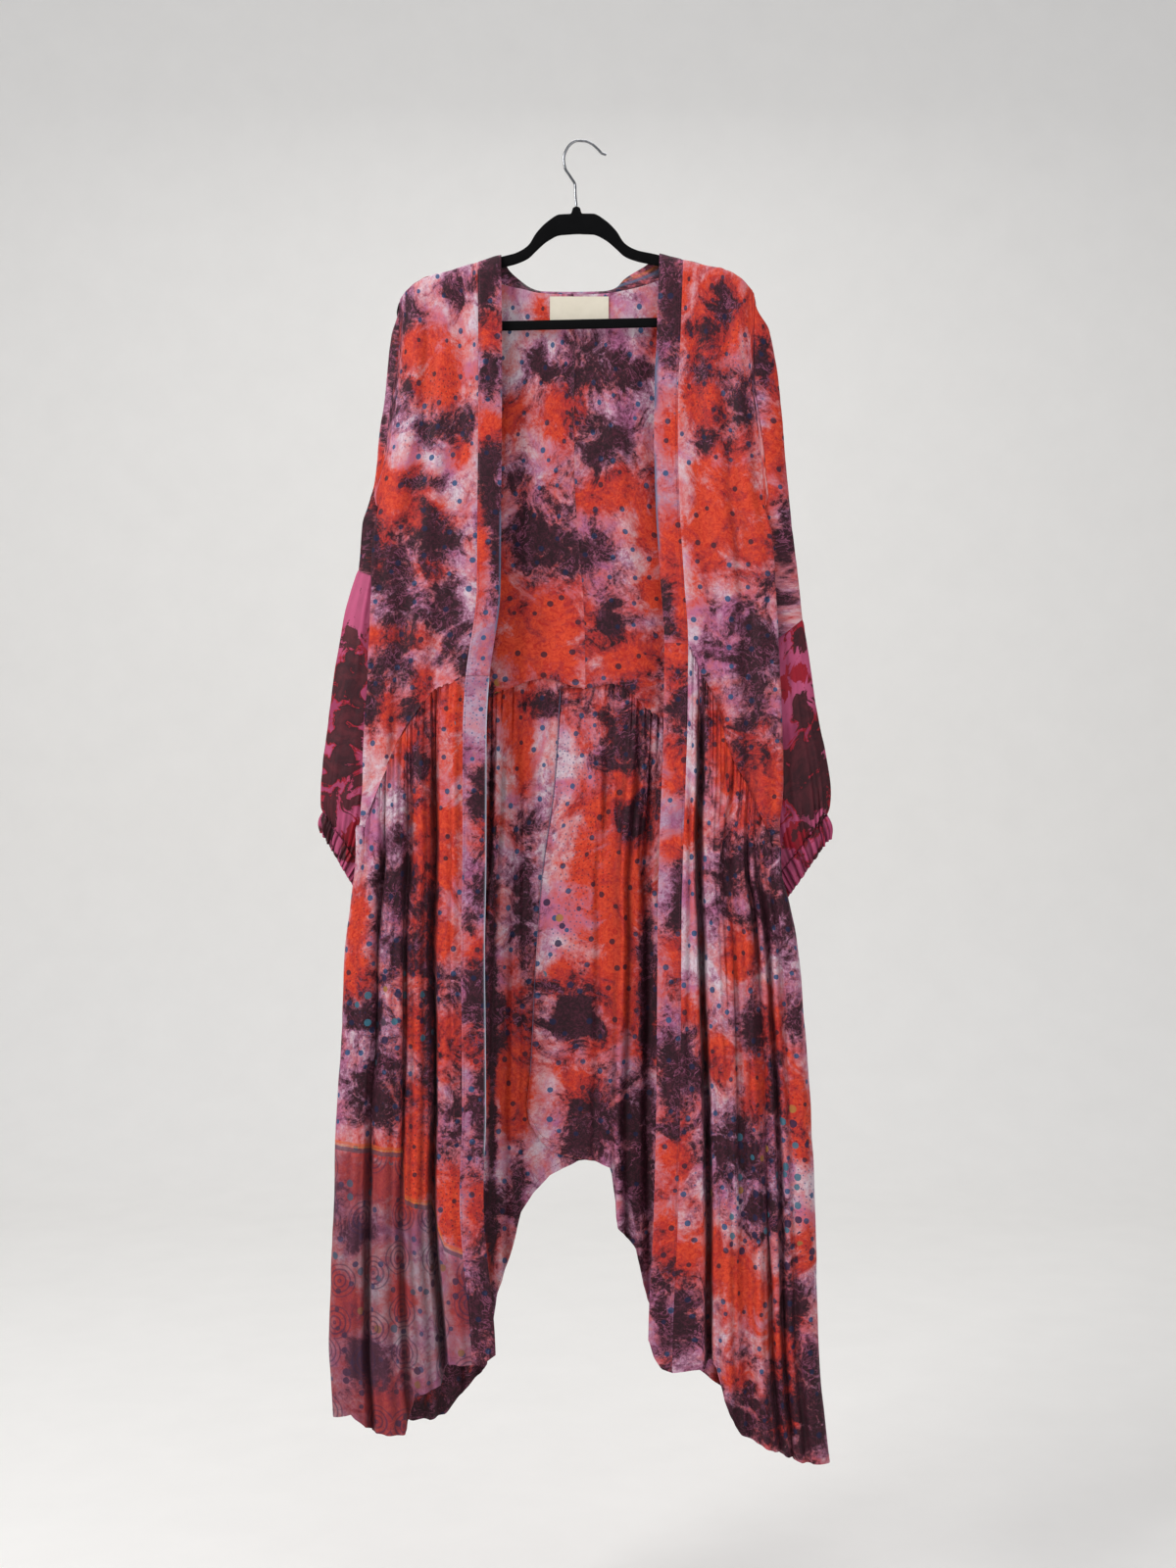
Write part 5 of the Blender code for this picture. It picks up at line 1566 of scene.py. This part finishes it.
def mixed(tree, share, first, second):
    made = node(tree, "ShaderNodeMix", data_type="RGBA")
    for number, value in ((0, share), (6, first), (7, second)):
        join(tree, value, made.inputs[number])
    return made.outputs[2]


def layered(tree, ground, layers):
    """The ground with dyes or inks laid over it, each as the share that it covers and its colour."""
    for share, dye in layers:
        ground = mixed(tree, share, ground, dye)
    return ground


def noise(tree, place, scale, detail=4.0, roughness=0.6, distortion=0.0):
    values = {"Vector": place, "Scale": scale, "Detail": detail}
    values.update({"Roughness": roughness, "Distortion": distortion})
    return node(tree, "ShaderNodeTexNoise", values).outputs[0]


def uneven(tree, *noise_values):
    """Noise that swings about 0."""
    return maths(tree, "SUBTRACT", noise(tree, *noise_values), 0.5)


def new_group(name, inputs, outputs):
    tree = bpy.data.node_groups.new(name, "ShaderNodeTree")
    for label, kind in inputs:
        tree.interface.new_socket(label, in_out="INPUT", socket_type=kind)
    for label, kind in outputs:
        tree.interface.new_socket(label, in_out="OUTPUT", socket_type=kind)
    return tree, tree.nodes.new("NodeGroupInput"), tree.nodes.new("NodeGroupOutput")


def dye_bloom_group():
    """Turns a soft field of dye into patches with feathered, branching edges and a halo. Reach
    raises the field everywhere, so that smaller patches come up between those listed."""
    inputs = [("Place", VECTOR), ("Field", NUMBER), ("Reach", NUMBER), ("Scale", NUMBER)]
    inputs += [("Feather", NUMBER), ("Fringe", NUMBER)]
    tree, given, out = new_group("dye_bloom", inputs, [("Core", NUMBER), ("Halo", NUMBER)])
    place, field, reach, scale, feather, fringe = (given.outputs[label] for label, _ in inputs)
    broad = uneven(tree, place, scale, 9.0, 0.70, 0.9)
    fine = uneven(tree, place, times(tree, scale, 5.2), 7.0, 0.75, 1.3)
    feathered, fringed = times(tree, broad, feather), times(tree, fine, fringe)
    total = plus(tree, times(tree, field, 0.78), reach, feathered, fringed)
    tree.links.new(between(tree, total, 0.40, 0.76), out.inputs["Core"])
    tree.links.new(between(tree, total, 0.12, 0.50), out.inputs["Halo"])
    return tree


def dots_group():
    """Round printed dots at an uneven spacing, fewer where the density is low. Kind is one number
    from 0 to 1 for each dot."""
    inputs = [("Place", VECTOR), ("Spacing", NUMBER), ("Radius", NUMBER), ("Density", NUMBER)]
    tree, given, out = new_group("printed_dots", inputs, [("Dots", NUMBER), ("Kind", NUMBER)])
    place, spacing, radius, density = (given.outputs[label] for label, _ in inputs)
    scale = maths(tree, "DIVIDE", 1.0, spacing)
    values = {"Vector": place, "Scale": scale, "Randomness": 0.72}
    cells = node(tree, "ShaderNodeTexVoronoi", values, voronoi_dimensions="2D")
    apart = node(tree, "ShaderNodeSeparateColor", {"Color": cells.outputs["Color"]})
    size = times(tree, radius, plus(tree, 0.82, times(tree, apart.outputs[1], 0.36)))
    inside = maths(tree, "LESS_THAN", cells.outputs["Distance"], times(tree, size, scale))
    kept = maths(tree, "LESS_THAN", apart.outputs[0], density)
    tree.links.new(times(tree, inside, kept), out.inputs["Dots"])
    tree.links.new(apart.outputs[2], out.inputs["Kind"])
    return tree


def crepe_group():
    """The grain of crepe, with small puckers that stay from washing, as a height."""
    tree, given, out = new_group("crepe_grain", [("Place", VECTOR)], [("Height", NUMBER)])
    place = given.outputs["Place"]
    grain = noise(tree, place, 1500.0, 2.0, 0.6, 0.4)
    puckers = noise(tree, place, 120.0, 6.0, 0.6, 1.1)
    tree.links.new(plus(tree, times(tree, grain, 0.3), puckers), out.inputs["Height"])
    return tree


def use_group(tree, group, values):
    made = tree.nodes.new("ShaderNodeGroup")
    made.node_tree = group
    for label, value in values.items():
        join(tree, value, made.inputs[label])
    return made.outputs


def fresh_material(name, roughness, sheen, specular, metallic=0.0, place="UV"):
    """A material with the finish that is the same all over, and the place on its surface."""
    made = bpy.data.materials.new(name)
    made.use_nodes = True
    shader = made.node_tree.nodes["Principled BSDF"]
    values = {"Roughness": roughness, "Sheen Weight": sheen, "Metallic": metallic}
    values["Specular IOR Level"] = specular
    for label, value in values.items():
        shader.inputs[label].default_value = value
    return made, made.node_tree, shader, node(made.node_tree, "ShaderNodeTexCoord").outputs[place]


def bumped(tree, shader, height, strength, distance):
    made = node(tree, "ShaderNodeBump", {"Strength": strength, "Distance": distance, "Height": height})
    tree.links.new(made.outputs[0], shader.inputs["Normal"])


def mask(tree, name):
    return node(tree, "ShaderNodeAttribute", attribute_name=name).outputs["Fac"]


def finished(tree, shader, place, ground, grain, strength):
    """The cloth's colour with painted shade, darker where it lies deep in its folds, and its grain."""
    # Painted shade: the colour is mixed towards a dark red by how deep the cloth lies in a fold
    folds = times(tree, mask(tree, "shade"), FOLD_PAINTED_SHADE)
    tree.links.new(mixed(tree, folds, ground, colour("fold")), shader.inputs["Base Color"])
    bumped(tree, shader, use_group(tree, grain, {"Place": place})["Height"], strength, GRAIN_HEIGHT)


def printed(tree, place, dots, ground, plum, coral):
    """The prints on the cloth: dots all over, zones of small specks and of discs, and the border."""
    ink = mixed(tree, coral, colour("blue_dot"), colour("maroon_dot"))
    ink = mixed(tree, plum, ink, colour("navy_dot"))
    shown = use_group(tree, dots, {"Place": place, **DOTS})["Dots"]
    ground = mixed(tree, times(tree, shown, DOT_STRENGTH), ground, ink)
    for zone, spacing, radius, fullness, strength in DOT_ZONES:
        density = times(tree, mask(tree, zone), fullness)
        values = {"Place": place, "Spacing": spacing, "Radius": radius, "Density": density}
        made = use_group(tree, dots, values)
        if zone == "discs":
            navy, ochre = (between(tree, made["Kind"], *step) for step in DISC_STEPS)
            layers = [(navy, colour("navy_disc")), (ochre, colour("ochre_disc"))]
            ink = layered(tree, colour("teal_disc"), layers)
        inside = between(tree, mask(tree, zone), 0.12, 0.24)
        ground = mixed(tree, times(tree, made["Dots"], inside, strength), ground, ink)
    return layered(tree, border(tree, place, ground), [(mask(tree, name), colour(name)) for name in WOVEN])


def border(tree, place, ground):
    """The border above a hem: its dusky field, rings inside one another and the stripes above."""
    values = {"Vector": place, "Scale": 17.0, "Randomness": 0.6}
    away = node(tree, "ShaderNodeTexVoronoi", values, voronoi_dimensions="2D").outputs["Distance"]
    rings = between(tree, maths(tree, "SINE", times(tree, away, 62.0)), 0.25, 0.6)
    rings = times(tree, rings, between(tree, away, 0.36, 0.32))
    layers = [(times(tree, mask(tree, "border"), DUSK_STRENGTH), colour("dusk"))]
    layers.append((times(tree, rings, mask(tree, "border"), RING_STRENGTH), colour("ring")))
    below = times(tree, mask(tree, "line"), LINE_ABOVE + LINE_BELOW)
    below = maths(tree, "SUBTRACT", below, LINE_ABOVE)
    for top, bottom, ink in BORDER_STRIPES:
        starts = between(tree, below, top, top + STRIPE_EDGE)
        ends = between(tree, below, bottom, bottom - STRIPE_EDGE)
        layers.append((times(tree, starts, ends, STRIPE_STRENGTH), srgb(*ink)))
    return layered(tree, ground, layers)


def dye_veins(tree, place, plum):
    """Fine veins that branch through the plum, where the cloth was pinched and took less dye."""
    away = maths(tree, "ABSOLUTE", uneven(tree, place, 52.0, 6.0, 0.62, 1.6))
    here = between(tree, noise(tree, place, 21.0, 3.0, 0.5, 0.4), 0.42, 0.60)
    return times(tree, between(tree, away, 0.026, 0.004), here, plum, 0.62)


def dyed_crepe(name, groups, pale, pink, plum_reach, coral_reach):
    """Tie-dyed crepe: a pale ground with mauve halos, coral and plum patches, a few plum ones painted
    shadow, printed dots and painted shade in its folds.
    """
    made, tree, shader, place = fresh_material(name, roughness=0.6, sheen=0.03, specular=0.2)
    bloom, dots, grain = groups
    apart = node(tree, "ShaderNodeVectorMath", operation="ADD")
    join(tree, place, apart.inputs[0])
    apart.inputs[1].default_value = CORAL_APART
    values = {"Place": place, "Field": mask(tree, "plum"), "Reach": plum_reach, **PLUM_BLOOM}
    plum = use_group(tree, bloom, values)
    values = {"Place": apart.outputs[0], "Field": mask(tree, "coral"), "Reach": coral_reach, **CORAL_BLOOM}
    coral = use_group(tree, bloom, values)
    wide = noise(tree, place, 14.0, 5.0, 0.6, 0.8)
    fine = noise(tree, place, 130.0, 7.0, 0.75, 1.8)
    halo = mixed(tree, between(tree, fine, 0.36, 0.62), colour("halo_pale"), colour("halo_deep"))
    warm = mixed(tree, between(tree, fine, 0.32, 0.66), colour("coral_deep"), colour("coral_bright"))
    dark = mixed(tree, between(tree, fine, 0.42, 0.72), colour("plum_deep"), colour("plum_soft"))
    ground = mixed(tree, between(tree, wide, 0.44, 0.64), colour(pale), colour(pink))
    layers = [
        (times(tree, between(tree, fine, 0.47, 0.66), 0.6), colour("mauve_vein")),
        (times(tree, plum["Halo"], 0.85), halo),
        (times(tree, coral["Halo"], 0.6), colour("coral_flush")),
        (coral["Core"], warm),
        (times(tree, plum["Halo"], coral["Core"], 0.55), colour("rim")),
        (plum["Core"], dark),
        (dye_veins(tree, place, plum["Core"]), colour("plum_vein")),
    ]
    ground = printed(tree, place, dots, layered(tree, ground, layers), plum["Core"], coral["Core"])
    finished(tree, shader, place, ground, grain, 0.55)
    return made


def orchid_crepe(grain):
    """The sleeves' crepe: orchid with hard-edged maroon patches, crimson rims and spots, and painted shade
    in its folds.
    """
    made, tree, shader, place = fresh_material("orchid_crepe", roughness=0.55, sheen=0.03, specular=0.22)
    fine = noise(tree, place, 40.0, 7.0, 0.62, 1.1)
    soft = noise(tree, place, 14.0, 3.0, 0.5, 0.6)
    swing = maths(tree, "SUBTRACT", fine, 0.5)
    maroon = plus(tree, mask(tree, "plum"), times(tree, swing, 3.4))
    spots = plus(tree, mask(tree, "coral"), times(tree, swing, 2.4))
    rims = times(tree, between(tree, maroon, 0.30, 0.36), between(tree, soft, 0.42, 0.52))
    red = maths(tree, "MAXIMUM", rims, between(tree, spots, 0.52, 0.57))
    orchid = mixed(tree, between(tree, soft, 0.35, 0.65), colour("orchid_bright"), colour("orchid_deep"))
    dark = mixed(tree, between(tree, fine, 0.4, 0.7), colour("maroon_deep"), colour("maroon_soft"))
    layers = [(red, colour("crimson")), (between(tree, maroon, 0.47, 0.51), dark)]
    finished(tree, shader, place, layered(tree, orchid, layers), grain, 0.5)
    return made


def worn_colour(tree, shader, worn, first, second):
    tree.links.new(mixed(tree, worn, colour(first), colour(second)), shader.inputs["Base Color"])


def cream_cloth():
    """Woven label cloth, left bare."""
    made, tree, shader, place = fresh_material("cream_label", roughness=0.72, sheen=0.05, specular=0.3)
    threads = node(tree, "ShaderNodeTexWave", {"Vector": place, "Scale": 620.0, "Distortion": 0.4})
    worn_colour(tree, shader, noise(tree, place, 60.0, 3.0), "label_worn", "label_clean")
    bumped(tree, shader, threads.outputs["Fac"], 0.3, 0.0002)
    return made


def black_flock():
    """Short black pile, rubbed a little paler in places."""
    made, tree, shader, place = fresh_material("black_velvet", roughness=0.95, sheen=0.015, specular=0.08)
    worn_colour(tree, shader, noise(tree, place, 40.0, 5.0), "pile", "pile_rubbed")
    bumped(tree, shader, noise(tree, place, 2200.0, 2.0), 0.6, 0.0003)
    return made


def bright_wire():
    """Plated wire, duller where it is worn."""
    made, tree, shader, place = fresh_material("chrome", 0.16, 0.0, 0.5, 1.0, place="Object")
    worn = between(tree, noise(tree, place, 300.0, 4.0), 0.4, 0.7)
    worn_colour(tree, shader, worn, "wire_bright", "wire_worn")
    tree.links.new(plus(tree, 0.12, times(tree, worn, 0.14)), shader.inputs["Roughness"])
    return made


def plain(name, roughness):
    """A thread or a paint in the colour of its name, a little lighter in places."""
    made, tree, shader, place = fresh_material(name, roughness, 0.0, 0.3, place="Object")
    lighter = tuple(min(1.0, part * 1.06) for part in colour(name)[:3]) + (1.0,)
    tree.links.new(mixed(tree, noise(tree, place, 8.0), colour(name), lighter), shader.inputs["Base Color"])
    return made


def placed(name, data, place):
    made = bpy.data.objects.new(name, data)
    made.location = place
    bpy.context.scene.collection.objects.link(made)
    return made


def camera():
    data = bpy.data.cameras.new("camera")
    data.lens = LENS
    made = placed("camera", data, CAMERA_PLACE)
    made.rotation_euler = (math.pi / 2, 0, 0)
    bpy.context.scene.camera = made


def light(name, place, size, power):
    """A large soft light, aimed at the middle of the coat."""
    data = bpy.data.lights.new(name, "AREA")
    data.size, data.energy = size, power
    made = placed(name, data, place)
    made.visible_camera = False
    made.rotation_euler = (Vector(LIGHT_AIM) - made.location).to_track_quat("-Z", "Y").to_euler()


def studio():
    """A pale floor that curves up into a wall, a pale surround and large soft lights."""
    turn = np.linspace(0, math.pi / 2, 13)
    profile = [(-6.0, FLOOR)] + [(WALL_Y - 1 + math.sin(a), FLOOR + 1 - math.cos(a)) for a in turn]
    profile.append((WALL_Y, 4.0))
    vertices = [(x, y, z) for x in (-8.0, 8.0) for y, z in profile]
    count = len(profile)
    faces = [(i, i + 1, count + i + 1, count + i) for i in range(count - 1)]
    mesh = bpy.data.meshes.new("pale_backdrop")
    mesh.from_pydata(vertices, [], faces)
    mesh.shade_smooth()
    mesh.materials.append(plain("pale_paint", 0.9))
    placed("pale_backdrop", mesh, (0.0, 0.0, 0.0))
    surround = bpy.data.worlds.new("pale_surround")
    surround.use_nodes = True
    surround.node_tree.nodes["Background"].inputs["Color"].default_value = SURROUND_COLOUR
    surround.node_tree.nodes["Background"].inputs["Strength"].default_value = SURROUND_STRENGTH
    bpy.context.scene.world = surround
    bpy.context.scene.view_settings.view_transform = "Standard"
    for row in LIGHTS:
        light(*row)


def dressed_bodice(cloth, seed):
    """Soft creases of a hanging bodice, with a dip at its long seams. Its lower edge stands over
    the skirt."""
    heights = crumple(cloth, seed, high=0.5, size=46.0)
    heights = heights + soft_creases(cloth, seed + 1, count=16, high=1.0, half_width=9.0, length=190.0)
    heights = heights + gathers(cloth, seed + 2, spacing=9.0, high=0.8, reach=16.0, from_below=True)
    heights = heights + SEAM_STEP * np.exp(-((cloth.above / 3.4) ** 2)) * between_seams(cloth, 8.0)
    return cloth.raised(heights + grooves(cloth, inner=True, outer=True))


def dressed_skirt(cloth, seed, creases):
    """Gathers under the waist seam, long creases below them and a rippled hem."""
    heights = gathers(cloth, seed, spacing=7.5, high=2.6, reach=46.0)
    heights = heights + gathers(cloth, seed + 1, spacing=15.0, high=2.6, reach=110.0)
    heights = heights + soft_creases(cloth, seed + 2, count=26, high=1.3, half_width=7.0, length=330.0)
    heights = heights + crumple(cloth, seed + 3, high=0.45, size=50.0) + placed_creases(cloth, creases)
    heights = heights + hem_ripple(cloth, seed + 4, high=1.2, reach=60.0)
    heights = heights - SEAM_STEP * np.exp(-((cloth.below / 3.0) ** 2))
    return cloth.raised(heights + grooves(cloth, inner=True))


def dressed_band(cloth, seed):
    heights = 0.5 * crumple(cloth, seed, high=1.0, size=30.0)
    return cloth.raised(heights + grooves(cloth, outer=True))


def dressed_upper_sleeve(cloth, side):
    heights = crumple(cloth, 100 + side, high=0.4, size=40.0)
    creases = soft_creases(cloth, 110 + side, count=7, high=0.9, half_width=6.0, length=90.0)
    return cloth.raised(heights + creases)


def dressed_lower_sleeve(cloth, side):
    """Gathers above the cuff, and a top edge tucked into the upper sleeve."""
    heights = gathers(cloth, 120 + side, spacing=6.0, high=2.8, reach=46.0, from_below=True)
    heights = heights + soft_creases(cloth, 130 + side, count=14, high=1.4, half_width=6.0, length=140.0)
    heights = heights + crumple(cloth, 140 + side, high=0.4, size=44.0)
    return tucked(cloth.raised(heights - TUCK_DEPTH * np.exp(-((cloth.below / 2.0) ** 2))))


def dressed_cuff(cloth, side):
    """A round section, puckered all the way, whose lower edge waves with the puckers."""
    roll = CUFF_ROLL * bump((cloth.below / (cloth.below + cloth.above) - 0.5) / 0.62)
    puckers = gathers(cloth, 150 + side, spacing=5.3, high=CUFF_PUCKER, reach=900.0)
    fine = cloth.raised(roll + puckers)
    fine.points[..., 2] -= CUFF_EDGE_WAVE * puckers
    return fine


def tucked(cloth):
    """The same cloth with its top edge pushed up inside the piece that it is sewn to."""
    points = cloth.points.copy()
    points[:, 0, 2] += TUCK_RISE
    made = Cloth(points, cloth.ring, cloth.t, cloth.relief)
    made.facing = cloth.facing
    return made


def seam_shadow(cloth, shade):
    """The skirt lies in shadow just under the seam that it is gathered to."""
    under = SEAM_SHADOW * np.exp(-((cloth.below / SEAM_SHADOW_REACH) ** 2))
    return tuple(np.maximum(layer, under) for layer in shade)


def hemmed(cloth):
    return np.where(cloth.above < HEM_WIDTH, HEM_SHELL, SHELL)


def declare(piece, solids):
    """Puts a piece on the root body and hides the solids that it stands for."""
    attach(piece, "root")
    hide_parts(*solids)


def sew(name, paths, thread, deep=SHELL):
    made = stitches(name, paths, thread, deep)
    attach(made, "root")


class Half:
    """One side of the coat: its dyes, its cloths, and how its pieces are laid and declared."""

    def __init__(self, side, cloths):
        self.side, self.cloths = side, cloths
        self.hand = of_side(side, "left", "right")
        unseen = of_side(side, UNSEEN_LEFT, UNSEEN_RIGHT)
        self.plum = of_side(side, PLUM_LEFT, PLUM_RIGHT) + strewn(11 + side, SIDE_PATCHES, *unseen)
        self.coral = of_side(side, CORAL_LEFT, CORAL_RIGHT) + strewn(21 + side, SIDE_PATCHES, *unseen)
        self.back_plum, self.back_coral = PLUM_BACK + back_dye(5), CORAL_BACK + back_dye(7)

    def cloth_name(self, piece_name):
        return f"{piece_name}_{self.hand}_cloth"

    def front_dyed(self, cloth):
        return dyed(cloth, self.side, self.plum, self.coral)

    def back_dyed(self, cloth):
        return dyed(cloth, self.side, self.back_plum, self.back_coral)

    def lay(self, piece_name, cloth, slot_name, masks, thickness=SHELL):
        masks["shade"] = cloth.shaded()
        if piece_name.endswith("skirt"):
            masks["shade"] = seam_shadow(cloth, masks["shade"])
        made_of = self.cloths[slot_name]
        made = shell(self.cloth_name(piece_name), cloth, made_of, thickness, masks)
        solids = [f"{piece_name}_{self.hand}"]
        if piece_name == "back_bodice":
            solids.append(f"back_bodice_{self.hand}_lower")
        declare(made, solids)

    def sew(self, name, paths, slot_name, deep):
        sew(f"{name}_{self.hand}", paths, self.cloths["thread"], deep)

    def bodice(self, front, back):
        fine = dressed_bodice(front, 30 + self.side)
        self.lay("front_bodice", fine, "tie_dyed_crepe", self.front_dyed(fine))
        fine = dressed_bodice(back, 40 + self.side)
        self.lay("back_bodice", fine, "tie_dyed_crepe", self.back_dyed(fine))

    def skirts(self, skirt, behind):
        creases = of_side(self.side, CREASES_LEFT, CREASES_RIGHT)
        fine = dressed_skirt(skirt, 50 + 7 * self.side, creases)
        masks = self.front_dyed(fine)
        if self.side < 0:
            border_print(fine, masks)
        self.lay("front_skirt", fine, "tie_dyed_crepe", masks, hemmed(fine))
        hems = [row_path(fine, HEM_STITCHES)]
        fine = dressed_skirt(behind, 70 + 7 * self.side, CREASES_BACK)
        masks = self.back_dyed(fine)
        if self.side > 0:
            edge_line(fine, masks, *BACK_EDGE)
        self.lay("back_skirt", fine, "tie_dyed_crepe", masks, hemmed(fine))
        hems += [row_path(fine, HEM_STITCHES), line_path(fine, EDGE_STITCHES)]
        self.sew("hem_stitches", hems, "tie_dyed_crepe", HEM_SHELL)

    def bands(self, front, skirt):
        strips = {"front_band": front_band(self.side, front)}
        strips["skirt_band"] = skirt_band(self.side, front, skirt)
        for piece_name, strip in strips.items():
            fine = dressed_band(strip, 90 + self.side)
            masks = dyed(fine, self.side, BAND_PLUM, BAND_CORAL)
            masks["discs"] = 0.0 * masks["discs"]
            for top, bottom, tint, wide in of_side(self.side, *BAND_EDGES):
                edge_line(fine, masks, top, bottom, wide, tint)
            self.lay(piece_name, fine, "plum_band_crepe", masks, BAND_SHELL)
            seam = [line_path(fine, BAND_STITCHES)]
            self.sew(f"{piece_name}_stitches", seam, "plum_band_crepe", BAND_SHELL)

    def sleeve(self, front):
        fine = dressed_upper_sleeve(upper_sleeve(self.side, front), self.side)
        self.lay("upper_sleeve", fine, "tie_dyed_crepe", self.front_dyed(fine))
        fine = dressed_lower_sleeve(lower_sleeve(self.side), self.side)
        self.lay("lower_sleeve", fine, "orchid_crepe", sleeve_dyed(fine))
        fine = dressed_cuff(cuff(self.side), self.side)
        self.lay("cuff", fine, "orchid_crepe", sleeve_dyed(fine), CUFF_SHELL)


def half_coat(side, cloths):
    """All the pieces of one side. Its plain back bodice is given back for the neck band."""
    half = Half(side, cloths)
    front, back = front_bodice(side), back_bodice(side)
    skirt, behind = front_skirt(side, front), back_skirt(side, back)
    half.bodice(front, back)
    half.skirts(skirt, behind)
    half.bands(front, skirt)
    half.sleeve(front)
    return back


def neck_band(backs, made_of):
    band_cloth = back_neck_band(backs)
    masks = dyed(band_cloth, 1, BAND_PLUM, BAND_CORAL)
    shown = ease((band_cloth.points[..., 0] - 30.0) / 8.0)
    masks["slate"] = shown * bump((band_cloth.below - 9.0) / 3.0)
    masks["gold"] = 0.5 * shown * bump((band_cloth.below - 15.0) / 2.6)
    made = shell("back_neck_band_cloth", band_cloth, made_of, BAND_SHELL, masks)
    rests = ["back_bodice_left_cloth", "back_bodice_right_cloth"]
    declare(made, ["back_neck_band"])
    return rests


def bare_label(rests):
    label = neck_label()
    made = shell("neck_label_cloth", label, cream_cloth(), LABEL_SHELL)
    declare(made, ["neck_label"])
    sides = [line_path(label, 1.8), line_path(label, 1.8, from_end=True)]
    edges = [row_path(label, 1.6), row_path(label, 1.6, from_below=False)]
    sew("label_stitches", sides + edges, plain("cream_thread", 0.7), LABEL_SHELL)


def main():
    camera()
    studio()
    groups = (dye_bloom_group(), dots_group(), crepe_group())
    cloths = {
        "tie_dyed_crepe": dyed_crepe("tie_dyed_crepe", groups, "pale", "pink", 0.13, 0.20),
        "plum_band_crepe": dyed_crepe("plum_band_crepe", groups, "band_pale", "band_pink", 0.24, 0.24),
        "orchid_crepe": orchid_crepe(groups[2]),
        "thread": plain("plum_thread", 0.7),
    }
    declare(hanger_form(black_flock()), ["hanger_frame"])
    declare(hook_form(bright_wire()), ["hanger_hook"])
    backs = [half_coat(side, cloths) for side in (-1, 1)]
    bare_label(neck_band(backs, cloths["plum_band_crepe"]))


main()
